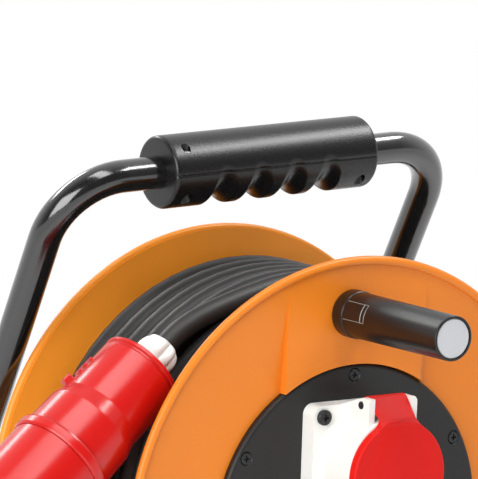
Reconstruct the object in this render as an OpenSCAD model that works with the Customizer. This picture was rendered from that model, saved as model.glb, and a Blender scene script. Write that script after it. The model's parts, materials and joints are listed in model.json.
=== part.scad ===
// Free-standing extension cord reel: an orange cable drum with a socket plate, a crank knob and a
// five-pin plug on its lead, turning on a stub axle in a bent steel tube frame with a carrying grip.
// Frame of the file: X along the carrying grip, Y from the socket side to the rear, Z up.
// The origin is on the ground, under the middle of everything but the lead and its plug.

/* [Drum] */
// Outside diameter of the two flanges
flange_d = 290; // [284:1:300]
// Width of the drum over the rims of its flanges
drum_w = 140; // [138:1:150]
// Wall thickness of the flanges
flange_wall = 3; // [2.6:0.1:3.2]
// Diameter of the rolled bead round each flange
rim_d = 5; // [4.5:0.5:5.5]
// Depth of each flange's flat middle behind its rim
dish = 8.6; // [8:0.1:9]
// Depth of each flange's face behind its rim, just inside the bead
rim_dish = 3; // [2.6:0.1:3.4]
// Outside diameter of the barrel that the cable is wound on
barrel_d = 136; // [132:1:142]
// Wall thickness of the barrel
barrel_wall = 3; // [2.5:0.1:3.4]
// Angle that the drum has stopped at, turned about its axle
drum_turn = 2.5; // [0:0.5:10]
// Half width of the flat pad that carries the crank
crank_pad_half = 46; // [40:1:55]
// Screws round each end of the barrel
barrel_screws_per_end = 6; // [4:1:8]

/* [Axle and hub] */
// Diameter of the axle
axle_d = 16; // [14:0.5:18]
// Wall thickness of the hub's bushes
bush_wall = 4; // [3:0.5:5]
// Thickness of the bushes' flanges
bush_flange_t = 2; // [1.5:0.5:3]
// Wall thickness of the hub round its bushes
hub_wall = 6; // [5:0.5:8]
// Length of the hub along the axle
hub_l = 79; // [70:1:84]
// Length of each bush inside the hub
bush_l = 12; // [10:1:20]
// Diameter of the threaded ends of the axle
axle_thread_d = 12; // [10:1:13]
// Ribs on the drum's rear face
rear_ribs = 12; // [8:1:16]
// Height of the ribs on the drum's rear face
rear_rib_h = 5; // [4:0.5:6]

/* [Socket plate] */
// Diameter of the socket plate
plate_d = 172; // [168:1:176]
// How far the socket plate stands out of the flange
plate_t = 4.4; // [4:0.1:5]
// Radius of the circle of plate screws
plate_screw_r = 80; // [79:0.5:80.5]
// Number of plate screws
plate_screws_n = 6; // [4:1:8]

/* [Three-phase socket] */
// Width and height of the three-phase socket's flange
power_flange_w = 67; // [66:0.5:70]
// Thickness of the three-phase socket's flange
power_flange_t = 10.2; // [9:0.2:11]
// Height of the three-phase socket's centre over the drum's axis
power_z = 33.5; // [33:0.5:34.5]
// Outside diameter of the collar
power_collar_d = 59.2; // [58:0.2:60]
// Wall thickness of the collar
power_collar_wall = 1.7; // [1.5:0.1:2]
// Length of the collar in front of its flange
power_collar_l = 28; // [26:1:29]
// Distance between the flange's screws
power_screw_pitch = 54.6; // [54:0.2:56]
// Diameter of the lid's round face
power_lid_d = 60; // [58:0.5:62]
// Depth of the lid from its seal to its face
power_lid_t = 5.1; // [4.6:0.1:5.6]
// Width of the lid's hinge tab
power_tab_w = 23.4; // [20:0.2:26]
// Height of the hinge pin over the socket's centre
power_hinge_z = 36; // [36:0.5:37]

/* [Household sockets] */
// Distance between the two household sockets
twin_pitch = 45.2; // [45:0.1:46]
// Depth of the household sockets' centres below the drum's axis
twin_drop = 31; // [30.5:0.5:31.5]
// Diameter of a household socket's flange
twin_flange_d = 44.6; // [44:0.1:44.8]
// Diameter of a household socket's well
twin_well_d = 39; // [38.5:0.1:39.5]
// Depth of a household socket's well
twin_well_depth = 17.5; // [17:0.1:18]
// How far a household socket stands out of the plate
twin_proud = 8; // [7:0.5:9]
// Thickness of a household socket's lid
twin_lid_t = 3; // [2.5:0.1:3.5]
// Depth of the reset button's centre below the drum's axis
reset_drop = 54; // [53.5:0.5:54.5]
// Travel of the reset button
reset_travel = 2; // [1.5:0.5:3]

/* [Crank] */
// Distance of the crank knob from the drum's axis
crank_r = 114.5; // [108:0.5:118]
// Sideways offset of the crank knob
crank_x = -5; // [-10:1:10]
// Length of the crank knob
knob_l = 90; // [80:1:100]
// Diameter of the knob at the flange
knob_d = 26; // [24:0.5:28]
// Diameter of the knob at its free end
knob_end_d = 24; // [22:0.5:26]
// Diameter of the pin inside the knob
crank_pin_d = 10; // [8:0.5:12]

/* [Frame] */
// Outside diameter of the frame's tube
tube_d = 18; // [16:0.5:20]
// Wall thickness of the frame's tube
tube_wall = 1.5; // [1:0.1:2]
// Distance between the centre lines of the two legs
leg_span = 255.6; // [250:0.2:280]
// Distance of the upright legs behind the drum's front rim
leg_y = 177.6; // [174:0.2:190]
// Bend radius of the handle's corners
handle_bend_r = 38; // [34:1:42]
// Lean of the handle back from upright
handle_lean = 30; // [26:1:34]
// Distance of the handle bar behind the drum's front rim
bar_y = 88; // [80:1:96]
// Gap for the hand between the flanges and the grip
hand_gap = 21.3; // [20:0.1:40]
// Bend radius of the legs' knees
knee_r = 60; // [50:1:70]
// Bend radius of the base's corners
base_bend_r = 50; // [40:1:60]
// Distance of the front cross tube before the drum's front rim
front_reach = 30; // [28:1:50]
// Gap between the drum and the ground
ground_gap = 20; // [19:1:40]
// Depth below the drum's axis at which the handle plugs into the base
joint_drop = 60; // [50:1:70]
// Length of the base's spigots inside the handle's legs
spigot_l = 30; // [24:1:40]
// Height of the bar that carries the axle
bracket_h = 30; // [28:1:30]
// Thickness of the bar that carries the axle
bracket_t = 5; // [4:0.5:6]
// Diameter of the bolts that hold the bar to the legs
bracket_bolt_d = 6; // [5:0.5:6.5]
// Rubber round the tube at each foot
foot_wall = 3; // [2:0.5:4]
// Length of each rubber foot
foot_l = 26; // [20:1:32]

/* [Grip] */
// Length of the grip
grip_l = 135; // [130:1:150]
// Diameter of the grip
grip_d = 40; // [38:0.5:42]
// Distance between finger grooves
finger_pitch = 23; // [21:0.5:24]
// Width of a finger groove
finger_w = 17; // [15:0.5:18]
// Depth of a finger groove
finger_depth = 5; // [4:0.5:5.5]
// Number of finger grooves
fingers_n = 4; // [3:1:4]

/* [Cable and plug] */
// Outside diameter of the cable
cable_d = 12; // [11.8:0.1:12.1]
// Outside diameter of the plug's body
plug_body_d = 47; // [45:0.5:48]
// Outside diameter of the plug's coupling ring
plug_ring_d = 57.8; // [56.5:0.1:58.5]
// Outside diameter of the plug's shroud
plug_shroud_d = 55.2; // [54:0.2:55.6]
// Wall thickness of the plug's shroud
plug_shroud_wall = 3; // [2.5:0.1:3.5]
// Length of the plug from its rear rim to its mouth
plug_l = 135; // [130:1:140]

/* [Hidden] */
$fn = 96;

// Colours
orange = "#EC8833";
black_plastic = "#2B2B2B";
white_plastic = "#EBEBE8";
grey_plastic = "#6E6F70";
red_plastic = "#E22D28";
rubber_black = "#3C3A38";
steel = "#B8B8BA";
black_paint = "#232323";
brass = "#C8A24A";

// Clearances
slip = 0.3;      // between bodies that move past each other
fit = 0.1;       // round a piece that is seated in another
running = 0.05;  // round a shaft or a hinge pin
bite = 1;        // how far joined shapes of one piece reach into each other

// Drum
flange_r = flange_d / 2;
plate_r = plate_d / 2;
barrel_r = barrel_d / 2;
spigot_r = barrel_r - barrel_wall - fit;
spigot_wall = 3.1;
mouth_r = spigot_r - spigot_wall;
spigot_reach = 10.4;
rim_flat = 5;
cone_r = flange_r - rim_d - rim_flat;
floor_y = dish + flange_wall;
rear_floor_y = drum_w - floor_y;
gasket_w = 3;
gasket_to_screws = 1;
gasket_t = 1.5;
barrel_screw_d = 4;
barrel_screw_head_d = 7.6;
barrel_screw_sink = 2;
barrel_screw_turn = 40;
barrel_screw_y = floor_y + 4;

// Hub, with the axle's shoulder, nut and washer
bush_r = axle_d / 2 + bush_wall;
hub_r = bush_r + hub_wall;
bush_flange_r = bush_r + 3;
hub_y1 = drum_w - 1;
hub_y0 = hub_y1 - hub_l;
washer_t = 2;
shoulder_y = hub_y0 - bush_flange_t - slip;
nut_af = axle_thread_d * 1.5;
nut_t = axle_thread_d * 0.8;
axle_y0 = shoulder_y - washer_t - nut_t - 2;
bracket_y1 = leg_y - tube_d / 2 - fit;
bracket_y0 = bracket_y1 - bracket_t;
inner_ribs_n = 6;
inner_rib_t = 3;
inner_rib_l = 20;

// Socket plate
plate_y0 = dish - plate_t;
plate_edge_r = 2.5;
plate_screw_d = 4;
plate_screw_head_d = 8;
plate_screw_sink = 2.2;
plate_screw_turn = 30;
gasket_r = plate_screw_r - plate_screw_head_d / 2 - gasket_to_screws - gasket_w;

// Three-phase socket
power_face_y = plate_y0 - power_flange_t;
power_mouth_y = power_face_y - power_collar_l;
power_bore_r = power_collar_d / 2 - power_collar_wall;
power_flange_corner = 6;
power_ring_d = 64;
power_ring_t = 2;
power_shoulder_d = 59;
power_body_d = 53;
power_gap_depth = 40;
power_keyway_w = 7.6;
power_keyway_r = 29;
power_body_l = 36;
power_insert_d = 48.4;
power_recess = 7;
power_insert_l = 52;
power_contact_circle_r = 16.5;
power_contact_d = 7;
power_pin_hole_d = 5.6;
power_contacts_n = 5;
power_screw_head_d = 8.5;
power_screw_head_t = 2.4;
power_screw_d = 4;
power_pin_d = 4.2;
power_pin_l = 33;
power_pin_y = power_face_y - 18;
power_pin_z = power_z + power_hinge_z;
power_ear_t = 4;
power_ear_half = power_tab_w / 2 + slip;
power_ear_reach = 7;
power_ear_root = 6;
power_ear_over = 4;
power_lid_back_y = power_mouth_y - slip;
power_lid_front_y = power_lid_back_y - power_lid_t;
power_lid_wall = 2.5;
power_skirt_wall = 1.2;
power_seal_wall = 3.6;
power_knuckle_r = 4.6;
power_tab_root = 10;

// Household sockets
twin_x = twin_pitch / 2;
twin_face_y = plate_y0 - twin_proud;
twin_floor_y = twin_face_y + twin_well_depth;
twin_body_wall = 1.5;
twin_body_l = 6;
twin_pin_pitch = 19;
twin_hole_d = 5.4;
twin_contact_d = 6.4;
twin_knuckle_r = 2.7;
twin_knuckle_l = 15.4;
twin_pin_d = 3;
twin_ear_t = 3;
twin_ear_root = 4;
twin_hinge_z = -twin_drop + twin_flange_d / 2 + twin_knuckle_r + slip;
twin_hinge_y = twin_face_y - slip - twin_lid_t / 2;
twin_lid_inset = 0.8;
twin_tab_w = 15.4;

// Cut-out with its reset button
cutout_w = 14;
cutout_l = 30;
cutout_thread_d = 10;
cutout_nut_af = 12.5;
cutout_nut_t = 2.5;
button_d = 6;
button_l = 8;
button_proud = 3.5;

// Springs on the hinge pins
power_spring_wire = 1;
twin_spring_wire = 0.6;
spring_turns = 4;
spring_rings = 8;
spring_room = 0.5;

// Crank
crank_z = sqrt(crank_r * crank_r - crank_x * crank_x);
crank_y0 = rim_dish;
knob_tip_y = crank_y0 - knob_l;
knob_cap_d = 21;
knob_cap_t = 2;
knob_collar_l = 9;
latch_l = 16;
latch_w = 10;
latch_t = 0.8;
crank_pin_head_d = 15;
crank_pin_head_t = 4;
crank_stud_d = 6;
crank_nut_t = 2.2;
crank_nut_af = 12;
cone_slope = (dish - rim_dish) / (cone_r - plate_r);
crank_nut_corner_r = crank_nut_af / (2 * cos(30));
crank_back_y = rim_dish + flange_wall + (cone_r - crank_r + crank_nut_corner_r) * cone_slope;

// Frame
tube_r = tube_d / 2;
leg_x = leg_span / 2;
bar_half = leg_x - handle_bend_r;
bar_z = flange_r + hand_gap + grip_d / 2;
ground_z = -flange_r - ground_gap;
skid_z = ground_z + tube_r + foot_wall;
handle_foot_y = bar_y + handle_bend_r * sin(handle_lean);
handle_foot_z = bar_z - handle_bend_r * cos(handle_lean);
knee_tangent = knee_r * tan(handle_lean / 2);
leg_drop = (leg_y - handle_foot_y) / sin(handle_lean);
leg_l = leg_drop - knee_tangent;
knee_z = handle_foot_z - leg_drop * cos(handle_lean) - knee_tangent;
foot_to_bend = 2;
foot_y_front = base_bend_r - front_reach + foot_l / 2 + foot_to_bend;
foot_y_rear = leg_y - base_bend_r - foot_l / 2 - foot_to_bend;
weld_half = 3;
weld_proud = 0.15;
bracket_bolt_z = 9;
bracket_end = 14;
bolt_head_af = 10;
bolt_head_t = 4;
bolt_nut_t = 5;
joint_screw_d = 4;
joint_screw_head_d = 8;
joint_screw_head_t = 2.4;

// Grip
grip_r = grip_d / 2;
grip_edge_r = 3;
groove_r = (finger_w * finger_w / 4 + finger_depth * finger_depth) / (2 * finger_depth);
groove_rise = 5.5;
groove_circle_r = grip_r - finger_depth + groove_r + groove_rise;
grip_screw_x = grip_l / 2 - 9.5;
grip_screw_y = tube_r + 5;
grip_screw_d = 3;
grip_screw_head_d = 6;
grip_screw_sink = 6;
grip_screw_bite = 7.5;

// Winding: two turns of the lower layer in front of five turns of the outer layer
cable_r = cable_d / 2;
wind_gap = cable_d * 0.05;
wind_pitch = cable_d + wind_gap;
lane_y0 = floor_y + 0.8;
wind_y0 = lane_y0 + cable_d + 0.4 + cable_r;
outer_layer_r = 124;
lower_layer_r = outer_layer_r - cable_d - 0.8;
outer_turns = 5;
outer_y0 = wind_y0 + 2.5 * wind_pitch;
outer_y1 = outer_y0 + (outer_turns - 1) * wind_pitch;
last_lane_y = outer_y1 + wind_pitch;
rings_per_turn = 24;
form_sides = 6;
step_start = 235;
step_arc = 70;
climb_arc = 50;
first_turn_start = 310;
last_turn_end = 225;
chord_r = cos(180 / rings_per_turn);
core_gap = 0.4;
core_low_r = lower_layer_r * chord_r - cable_r - core_gap;
core_high_r = outer_layer_r * chord_r - cable_r - core_gap;
core_step_y0 = wind_y0 + wind_pitch + cable_r + 0.8;
core_step_y1 = outer_y1 + cable_r - 0.8;
core_lug_arc = 5.5;

// Lead: from the plug's gland over the winding, down beside the front flange and to the barrel
lead_route = [[-86, 42.5, 107], [-76, 43.5, 111.5], [-65, 44.5, 115],
    [-50, 46, 118.5], [-33, 48, 121.5], [-14, 49.5, 124], [11, 48.5, 124.5], [36.5, 45, 119.5],
    [60.5, 39.5, 110], [83.5, 33, 96.5], [104, 26, 80], [120, 21, 61.5], [129.5, 18.5, 42],
    [131, 18.5, 20.5], [123.5, 18.5, 0.5], [107.5, 18.5, -14.5], [87, 18.5, -20.5],
    [75, 18.5, -20], [66, 18.5, -17.5]];
lead_lane_y = 18.5;
lead_sides = 10;
lead_end_turn = 15;

// Tail of the cable inside the barrel, and the wires from the terminals to the sockets
// Beyond wiring_from the routes stretch with the distance to the terminal block
wiring_from = 42;
wiring_to = 108;
wire_end_gap = 0.4;
block_y0 = rear_floor_y - inner_rib_l;
wiring_stretch = (block_y0 - wire_end_gap - wiring_from) / (wiring_to - wiring_from);
function wired(route) = [for (p = route)
  [p[0], p[1] > wiring_from ? wiring_from + (p[1] - wiring_from) * wiring_stretch : p[1], p[2]]];
tail_route = [[65.3, 18.5, -14.5], [56, 18.5, -12.4], [47, 21, -11.5], [40, 30, -13], [34, 46, -18],
    [26, 64, -26], [14, 80, -34], [4, 91, -39], [0, 99, -40], [0, 108, -40]];
wire_d = 4;
wire_sides = 8;
power_wire_route = [[9, 108, -35], [10, 98, -34], [19, 86, -26], [26, 72, -14], [26, 58, 4],
    [20, 50, 20], [12, 46, 29], [10, 41, 30]];
twin_wire_route = [[12, 108, -45], [12, 96, -45.5], [15, 80, -45], [19, 60, -40], [21, 40, -34],
    [22, 30, -32], [22, 20, -31]];
block_w = 30;
block_h = 16;
block_z = -40;
clamp_hole_d = 3.2;
clamp_y0 = 6;

// Plug, drawn along Z from its rear rim and turned into place
plug_at = [-110.1, 39, 90.9];
plug_tilt = 124;
plug_heading = -171.7;
plug_body_l = 73;
plug_flare_z0 = 38;
plug_flare_z1 = 46;
plug_flare_d = 53;
plug_ring_z0 = 67;
plug_ring_l = 6.5;
plug_cavity_d = 38;
gland_l = 15;
gland_d = 21;
gland_thread_d = 19;
gland_seat = 6;
gland_lobes = 8;
gland_lobe_d = 5;
plug_axis = [sin(plug_tilt) * cos(plug_heading), sin(plug_tilt) * sin(plug_heading), cos(plug_tilt)];
lead_start = [for (s = [gland_seat - 2, -gland_l / 2, -gland_l - 2]) plug_at + s * plug_axis];
plug_pin_circle_r = 16.5;
plug_pin_d = 5;
plug_pin_l = 28;
plug_pins_n = 5;
plug_lug = [6, 7, 5];
plug_lug_z = 33;
plug_key = [1.2, 7, 38];
plug_neck_l = 10;
plug_insert_t = 13;

// Placing: the bolts' nuts are the rearmost pieces and the knob's tip is the foremost one
rear_y = leg_y + tube_r + bolt_nut_t;
mid_y = (knob_tip_y + rear_y) / 2;

module place() {
  translate([0, -mid_y, -ground_z]) children();
}

module on_drum() {
  place() rotate([0, drum_turn, 0]) children();
}

// A 2D profile of [radius, y] points turned round the drum's axis
module lathe() {
  rotate([-90, 0, 0]) rotate_extrude() children();
}

// The same profile over an arc from angle a to angle b, counted from +X towards +Z
module lathe_arc(a, b) {
  rotate([-90, 0, 0]) rotate([0, 0, -b]) rotate_extrude(angle = b - a) children();
}

module rod(r, y0, y1) {
  translate([0, y0, 0]) rotate([-90, 0, 0]) cylinder(r = r, h = y1 - y0);
}

module ring(r0, r1, y0, y1) {
  difference() {
    rod(r1, y0, y1);
    rod(r0, y0 - bite, y1 + bite);
  }
}

module cone(r0, r1, y0, y1) {
  translate([0, y0, 0]) rotate([-90, 0, 0]) cylinder(r1 = r0, r2 = r1, h = y1 - y0);
}

module rod_x(r, x0, x1) {
  translate([x0, 0, 0]) rotate([0, 90, 0]) cylinder(r = r, h = x1 - x0);
}

module block(x0, x1, y0, y1, z0, z1) {
  translate([x0, y0, z0]) cube([x1 - x0, y1 - y0, z1 - z0]);
}

module hex_rod(af, y0, y1) {
  translate([0, y0, 0]) rotate([-90, 0, 0]) cylinder(d = af / cos(30), h = y1 - y0, $fn = 6);
}

module round_at(n, r, turn = 0) {
  for (i = [0 : n - 1]) rotate([0, turn + 360 * i / n, 0]) translate([r, 0, 0]) children();
}

// Square of width w with corners of radius r, drawn from y0 to y1
module rounded_slab(w, r, y0, y1) {
  translate([0, y1, 0]) rotate([90, 0, 0]) linear_extrude(y1 - y0) {
    square([w, w - 2 * r], center = true);
    square([w - 2 * r, w], center = true);
    for (x = [-1, 1], z = [-1, 1]) translate([x * (w / 2 - r), z * (w / 2 - r)]) circle(r);
  }
}

module cross_recess(head_d, y0, depth) {
  slot = head_d * 0.14;
  reach = head_d * 0.3;
  block(-reach, reach, y0 - bite, y0 + depth, -slot / 2, slot / 2);
  block(-slot / 2, slot / 2, y0 - bite, y0 + depth, -reach, reach);
}

// Tube swept along points: rings of n points, square to the path
function unit(v) = v / norm(v);
function tangent(p, i) = unit(p[min(i + 1, len(p) - 1)] - p[max(i - 1, 0)]);
function sweep_ring(p, i, r, n, side) =
  let (t = tangent(p, i), a = unit(cross(t, side)), b = cross(a, t))
  [for (k = [0 : n - 1]) p[i] + r * (cos(360 * k / n) * a + sin(360 * k / n) * b)];

module sweep(p, r, n, side = [0, 1, 0]) {
  m = len(p);
  points = [for (i = [0 : m - 1]) each sweep_ring(p, i, r, n, side)];
  walls = [for (i = [0 : m - 2], k = [0 : n - 1])
    let (a = i * n + k, b = i * n + (k + 1) % n) each [[a, b + n, b], [a, a + n, b + n]]];
  ends = [for (k = [1 : n - 2]) each
    [[0, k, k + 1], [(m - 1) * n, (m - 1) * n + k + 1, (m - 1) * n + k]]];
  polyhedron(points, concat(walls, ends));
}

// ---- Drum ----

// Dished face of a flange, from its mouth to its bead, as [radius, y] points
module flange_profile() {
  bead_r = rim_d / 2;
  translate([flange_r - bead_r, bead_r]) circle(bead_r);
  polygon([[mouth_r, dish], [plate_r, dish], [cone_r, rim_dish], [flange_r - bead_r, rim_dish - 0.5],
    [flange_r - bead_r, rim_dish + flange_wall - 0.5], [cone_r, rim_dish + flange_wall],
    [plate_r, floor_y], [spigot_r, floor_y], [spigot_r, floor_y + spigot_reach],
    [mouth_r, floor_y + spigot_reach]]);
}

module barrel_screw_places() {
  for (side = [0, 1]) {
    y = side == 0 ? barrel_screw_y : drum_w - barrel_screw_y;
    round_at(barrel_screws_per_end, 0, barrel_screw_turn) translate([0, y, 0]) children();
  }
}

module barrel_screw_shape(gap) {
  rod_x(barrel_screw_d / 2 + gap, mouth_r + 0.4 - gap * 8, barrel_r - 0.2);
  translate([barrel_r - 0.2 - barrel_screw_sink, 0, 0]) rotate([0, 90, 0])
    cylinder(d1 = barrel_screw_d + 2 * gap, d2 = barrel_screw_head_d + 2 * gap, h = barrel_screw_sink);
}

// Hole in the barrel where the cable goes in
module cable_entry(r) {
  rotate([0, lead_end_turn - drum_turn, 0]) translate([0, lead_lane_y, 0])
    rod_x(r, mouth_r - 4, barrel_r + 4);
}

module front_flange() {
  color(orange) on_drum() difference() {
    union() {
      lathe() flange_profile();
      intersection() {
        lathe() polygon([[plate_r + 0.2, rim_dish], [cone_r, rim_dish], [plate_r + 0.2, dish + 1]]);
        block(-crank_pad_half, crank_pad_half, 0, dish + bite, 0, flange_r);
      }
    }
    lathe() translate([gasket_r - fit, dish - bite]) square([gasket_w + 2 * fit, bite + gasket_t]);
    round_at(plate_screws_n, plate_screw_r, plate_screw_turn)
      rod(plate_screw_d / 2 + fit, 0, floor_y + bite);
    translate([crank_x, 0, crank_z]) rod(crank_stud_d / 2 + fit, 0, floor_y + bite);
    barrel_screw_places() barrel_screw_shape(fit);
    cable_entry(cable_r + 0.5);
  }
}

module rear_flange() {
  color(orange) on_drum() difference() {
    union() {
      translate([0, drum_w, 0]) mirror([0, 1, 0]) lathe() flange_profile();
      ring(bush_r, mouth_r + bite, rear_floor_y, rear_floor_y + flange_wall);
      ring(bush_r, hub_r, hub_y0, hub_y1);
      round_at(inner_ribs_n, 0)
        block(hub_r - bite, mouth_r + bite, rear_floor_y - inner_rib_l, rear_floor_y + bite,
          -inner_rib_t / 2, inner_rib_t / 2);
      round_at(rear_ribs, 0)
        block(hub_r - bite, plate_r - 2, drum_w - dish - bite, drum_w - dish + rear_rib_h,
          -inner_rib_t / 2, inner_rib_t / 2);
      ring(plate_r - 4, plate_r - 1, drum_w - dish - bite, drum_w - dish + rear_rib_h);
      ring(mouth_r - 10, mouth_r - 7, drum_w - dish - bite, drum_w - dish + rear_rib_h);
    }
    rod(bush_r, hub_y0 - bite, hub_y1 + bite);
    barrel_screw_places() barrel_screw_shape(fit);
  }
}

module drum_barrel() {
  color(orange) on_drum() difference() {
    ring(barrel_r - barrel_wall, barrel_r, floor_y, rear_floor_y);
    barrel_screw_places() barrel_screw_shape(fit);
    cable_entry(cable_r + 0.5);
  }
}

module barrel_screws() {
  color(steel) on_drum() barrel_screw_places() barrel_screw_shape(0);
}

module hub_bush(y0, y1, flange_y0) {
  ring(axle_d / 2 + running, bush_r, y0, y1);
  ring(axle_d / 2 + running, bush_flange_r, flange_y0, flange_y0 + bush_flange_t);
}

module hub_bush_front() {
  color(brass) on_drum() hub_bush(hub_y0 - bush_flange_t, hub_y0 + bush_l, hub_y0 - bush_flange_t);
}

module hub_bush_rear() {
  color(brass) on_drum() hub_bush(hub_y1 - bush_l, hub_y1 + bush_flange_t, hub_y1);
}

// ---- Winding ----

// Smooth step from 0 to 1
function ease(t) = let (u = min(max(t, 0), 1)) u * u * (3 - 2 * u);

// Place of turn number k: its distance along the axle and its radius
function turn_y(k) =
  k < 2 ? wind_y0 + k * wind_pitch
  : k < 2 + outer_turns ? outer_y0 + (k - 2) * wind_pitch
  : last_lane_y;
function turn_radius(k) = k < 2 || k >= 2 + outer_turns ? lower_layer_r : outer_layer_r;

// Point of the winding at angle a, counted on from the first turn's stepping place
function wind_point(a) =
  let (
    k = floor((a - step_start) / 360),
    u = a - step_start - 360 * k,
    before = max(k - 1, 0),
    y = turn_y(before) + (turn_y(k) - turn_y(before)) * ease(u / step_arc),
    r = turn_radius(before)
      + (turn_radius(k) - turn_radius(before)) * ease((u - step_arc) / climb_arc),
    settle = k > 1 + outer_turns ? ease((u - step_arc) / climb_arc) : 0
  ) [r * cos(a), y - settle, r * sin(a)];

wind_a0 = first_turn_start + 360 / rings_per_turn;
wind_a1 = last_turn_end + 360 * (2 + outer_turns) + 360 - 360 / rings_per_turn;
wind_rings = floor((wind_a1 - wind_a0) * rings_per_turn / 360);
wind_middle = [for (i = [0 : wind_rings]) wind_point(wind_a0 + i * 360 / rings_per_turn)];

// Straight ends, one cable diameter long, square to the lugs of the core
function lug_point(a, r, y, along) =
  [r * cos(a) - along * sin(a), y, r * sin(a) + along * cos(a)];
wind_start = [for (s = [0, cable_d]) lug_point(first_turn_start, lower_layer_r, wind_y0, s)];
wind_end = [for (s = [-cable_d, 0])
  lug_point(last_turn_end, lower_layer_r, last_lane_y - 1, s)];
wind_path = concat(wind_start, wind_middle, wind_end);

// Least gap of the winding to itself, between points more than half a turn apart
wind_gap_least = min([for (i = [0 : len(wind_path) - 1], j = [i + 12 : 1 : len(wind_path) - 1])
  norm(wind_path[i] - wind_path[j])]) - cable_d;
echo(winding_least_gap_mm = wind_gap_least);

module cable_winding() {
  color(rubber_black) on_drum() sweep(wind_path, cable_r, form_sides);
}

// Plain core under the turns that show, stepped where the outer layer begins
module cable_core() {
  color(rubber_black) on_drum() {
    difference() {
      lathe() polygon([[barrel_r + fit, wind_y0 - cable_r], [core_low_r, wind_y0 - cable_r],
        [core_low_r, core_step_y0], [core_high_r, core_step_y0], [core_high_r, core_step_y1],
        [core_low_r, core_step_y1], [core_low_r, rear_floor_y - slip],
        [barrel_r + fit, rear_floor_y - slip]]);
      lathe_arc(step_start - 4, step_start + step_arc + climb_arc + 4)
        translate([core_low_r - slip, core_step_y0 - bite])
          square([cable_d * 2, outer_y0 + cable_r + 0.6 - core_step_y0 + bite]);
    }
    core_lug(first_turn_start - core_lug_arc, first_turn_start - fit, wind_y0);
    core_lug(last_turn_end + fit, last_turn_end + core_lug_arc, last_lane_y - 1);
  }
}

// Lug that an end of the winding meets squarely
module core_lug(a, b, y) {
  half = cable_r - 0.5;
  lathe_arc(a, b) translate([core_low_r - bite, y - half])
    square([lower_layer_r + cable_r - core_low_r + bite, 2 * half]);
}

// ---- Socket plate ----

module plate_screw_shape(gap) {
  rod(plate_screw_d / 2 + gap, plate_y0, floor_y - 0.2);
  cone(plate_screw_head_d / 2 + gap, plate_screw_d / 2 + gap, plate_y0, plate_y0 + plate_screw_sink);
}

module socket_plate() {
  color(black_plastic) on_drum() difference() {
    lathe() {
      square_to = plate_r - plate_edge_r;
      translate([0, plate_y0]) square([square_to, plate_t]);
      translate([0, plate_y0 + plate_edge_r]) square([plate_r, plate_t - plate_edge_r]);
      intersection() {
        translate([square_to, plate_y0 + plate_edge_r]) circle(plate_edge_r);
        translate([0, plate_y0]) square([plate_r, plate_t]);
      }
    }
    translate([0, 0, power_z]) rod(power_shoulder_d / 2 + fit, plate_y0 - bite, dish + bite);
    for (s = [-1, 1]) translate([s * twin_x, 0, -twin_drop])
      rod(twin_well_d / 2 + twin_body_wall + fit, plate_y0 - bite, dish + bite);
    translate([0, 0, -reset_drop]) rod(cutout_thread_d / 2 + fit, plate_y0 - bite, dish + bite);
    round_at(plate_screws_n, plate_screw_r, plate_screw_turn) {
      plate_screw_shape(fit);
      rod(plate_screw_head_d / 2 + fit, plate_y0 - bite, plate_y0);
    }
    power_screw_places() rod(power_screw_d / 2 + fit, plate_y0 - bite, dish + bite);
  }
}

module plate_gasket() {
  color(rubber_black) on_drum() ring(gasket_r, gasket_r + gasket_w, dish, dish + gasket_t);
}

module plate_screws() {
  color(steel) on_drum() round_at(plate_screws_n, plate_screw_r, plate_screw_turn)
    difference() {
      plate_screw_shape(0);
      cross_recess(plate_screw_head_d, plate_y0, 1.2);
    }
}

// ---- Three-phase socket ----

module power_screw_places() {
  for (x = [-1, 1], z = [-1, 1])
    translate([x * power_screw_pitch / 2, 0, power_z + z * power_screw_pitch / 2]) children();
}

module power_contact_places() {
  translate([0, 0, power_z]) round_at(power_contacts_n, power_contact_circle_r, 90) children();
}

module power_ear() {
  x0 = power_ear_half;
  x1 = x0 + power_ear_t;
  y0 = power_pin_y - power_ear_reach;
  y1 = power_face_y + bite;
  z0 = power_z + power_bore_r - power_ear_root;
  z1 = power_pin_z + power_ear_over;
  corner = power_ear_t - 1;
  intersection() {
    translate([x0, 0, 0]) rotate([90, 0, 90]) linear_extrude(power_ear_t)
      polygon([[y0, z0], [y0, z1], [power_pin_y, z1], [y1, power_z + power_flange_w / 2 - slip],
        [y1, z0]]);
    union() {
      block(x0, x1, y0, y1, z0, z1 - corner);
      block(x0, x1 - corner, y0, y1, z0, z1);
      translate([x1 - corner, 0, z1 - corner]) rod(corner, y0, y1);
    }
  }
}

module power_housing() {
  color(white_plastic) on_drum() difference() {
    union() {
      translate([0, 0, power_z]) {
        rounded_slab(power_flange_w, power_flange_corner, power_face_y, plate_y0);
        rod(power_ring_d / 2, power_face_y - power_ring_t, power_face_y + bite);
        rod(power_collar_d / 2, power_mouth_y, power_face_y + bite);
        rod(power_shoulder_d / 2, plate_y0 - bite, dish - fit);
        rod(power_body_d / 2, plate_y0 - bite, plate_y0 + power_body_l);
      }
      both_sides() power_ear();
    }
    translate([0, 0, power_z]) {
      rod(power_bore_r, power_mouth_y - bite, power_mouth_y + power_gap_depth);
      intersection() {
        rod(power_keyway_r, power_mouth_y - bite, power_mouth_y + power_gap_depth);
        block(-power_keyway_w / 2, power_keyway_w / 2, power_mouth_y - bite,
          power_mouth_y + power_gap_depth, -power_keyway_r, 0);
      }
      rod(power_insert_d / 2 + fit, power_mouth_y - bite, plate_y0 + power_body_l - 2);
    }
    translate([0, power_pin_y, power_pin_z]) rod_x(power_pin_d / 2 + running, -power_pin_l, power_pin_l);
    power_screw_places() rod(power_screw_d / 2 + fit, power_face_y - bite, plate_y0 + bite);
  }
}

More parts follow.
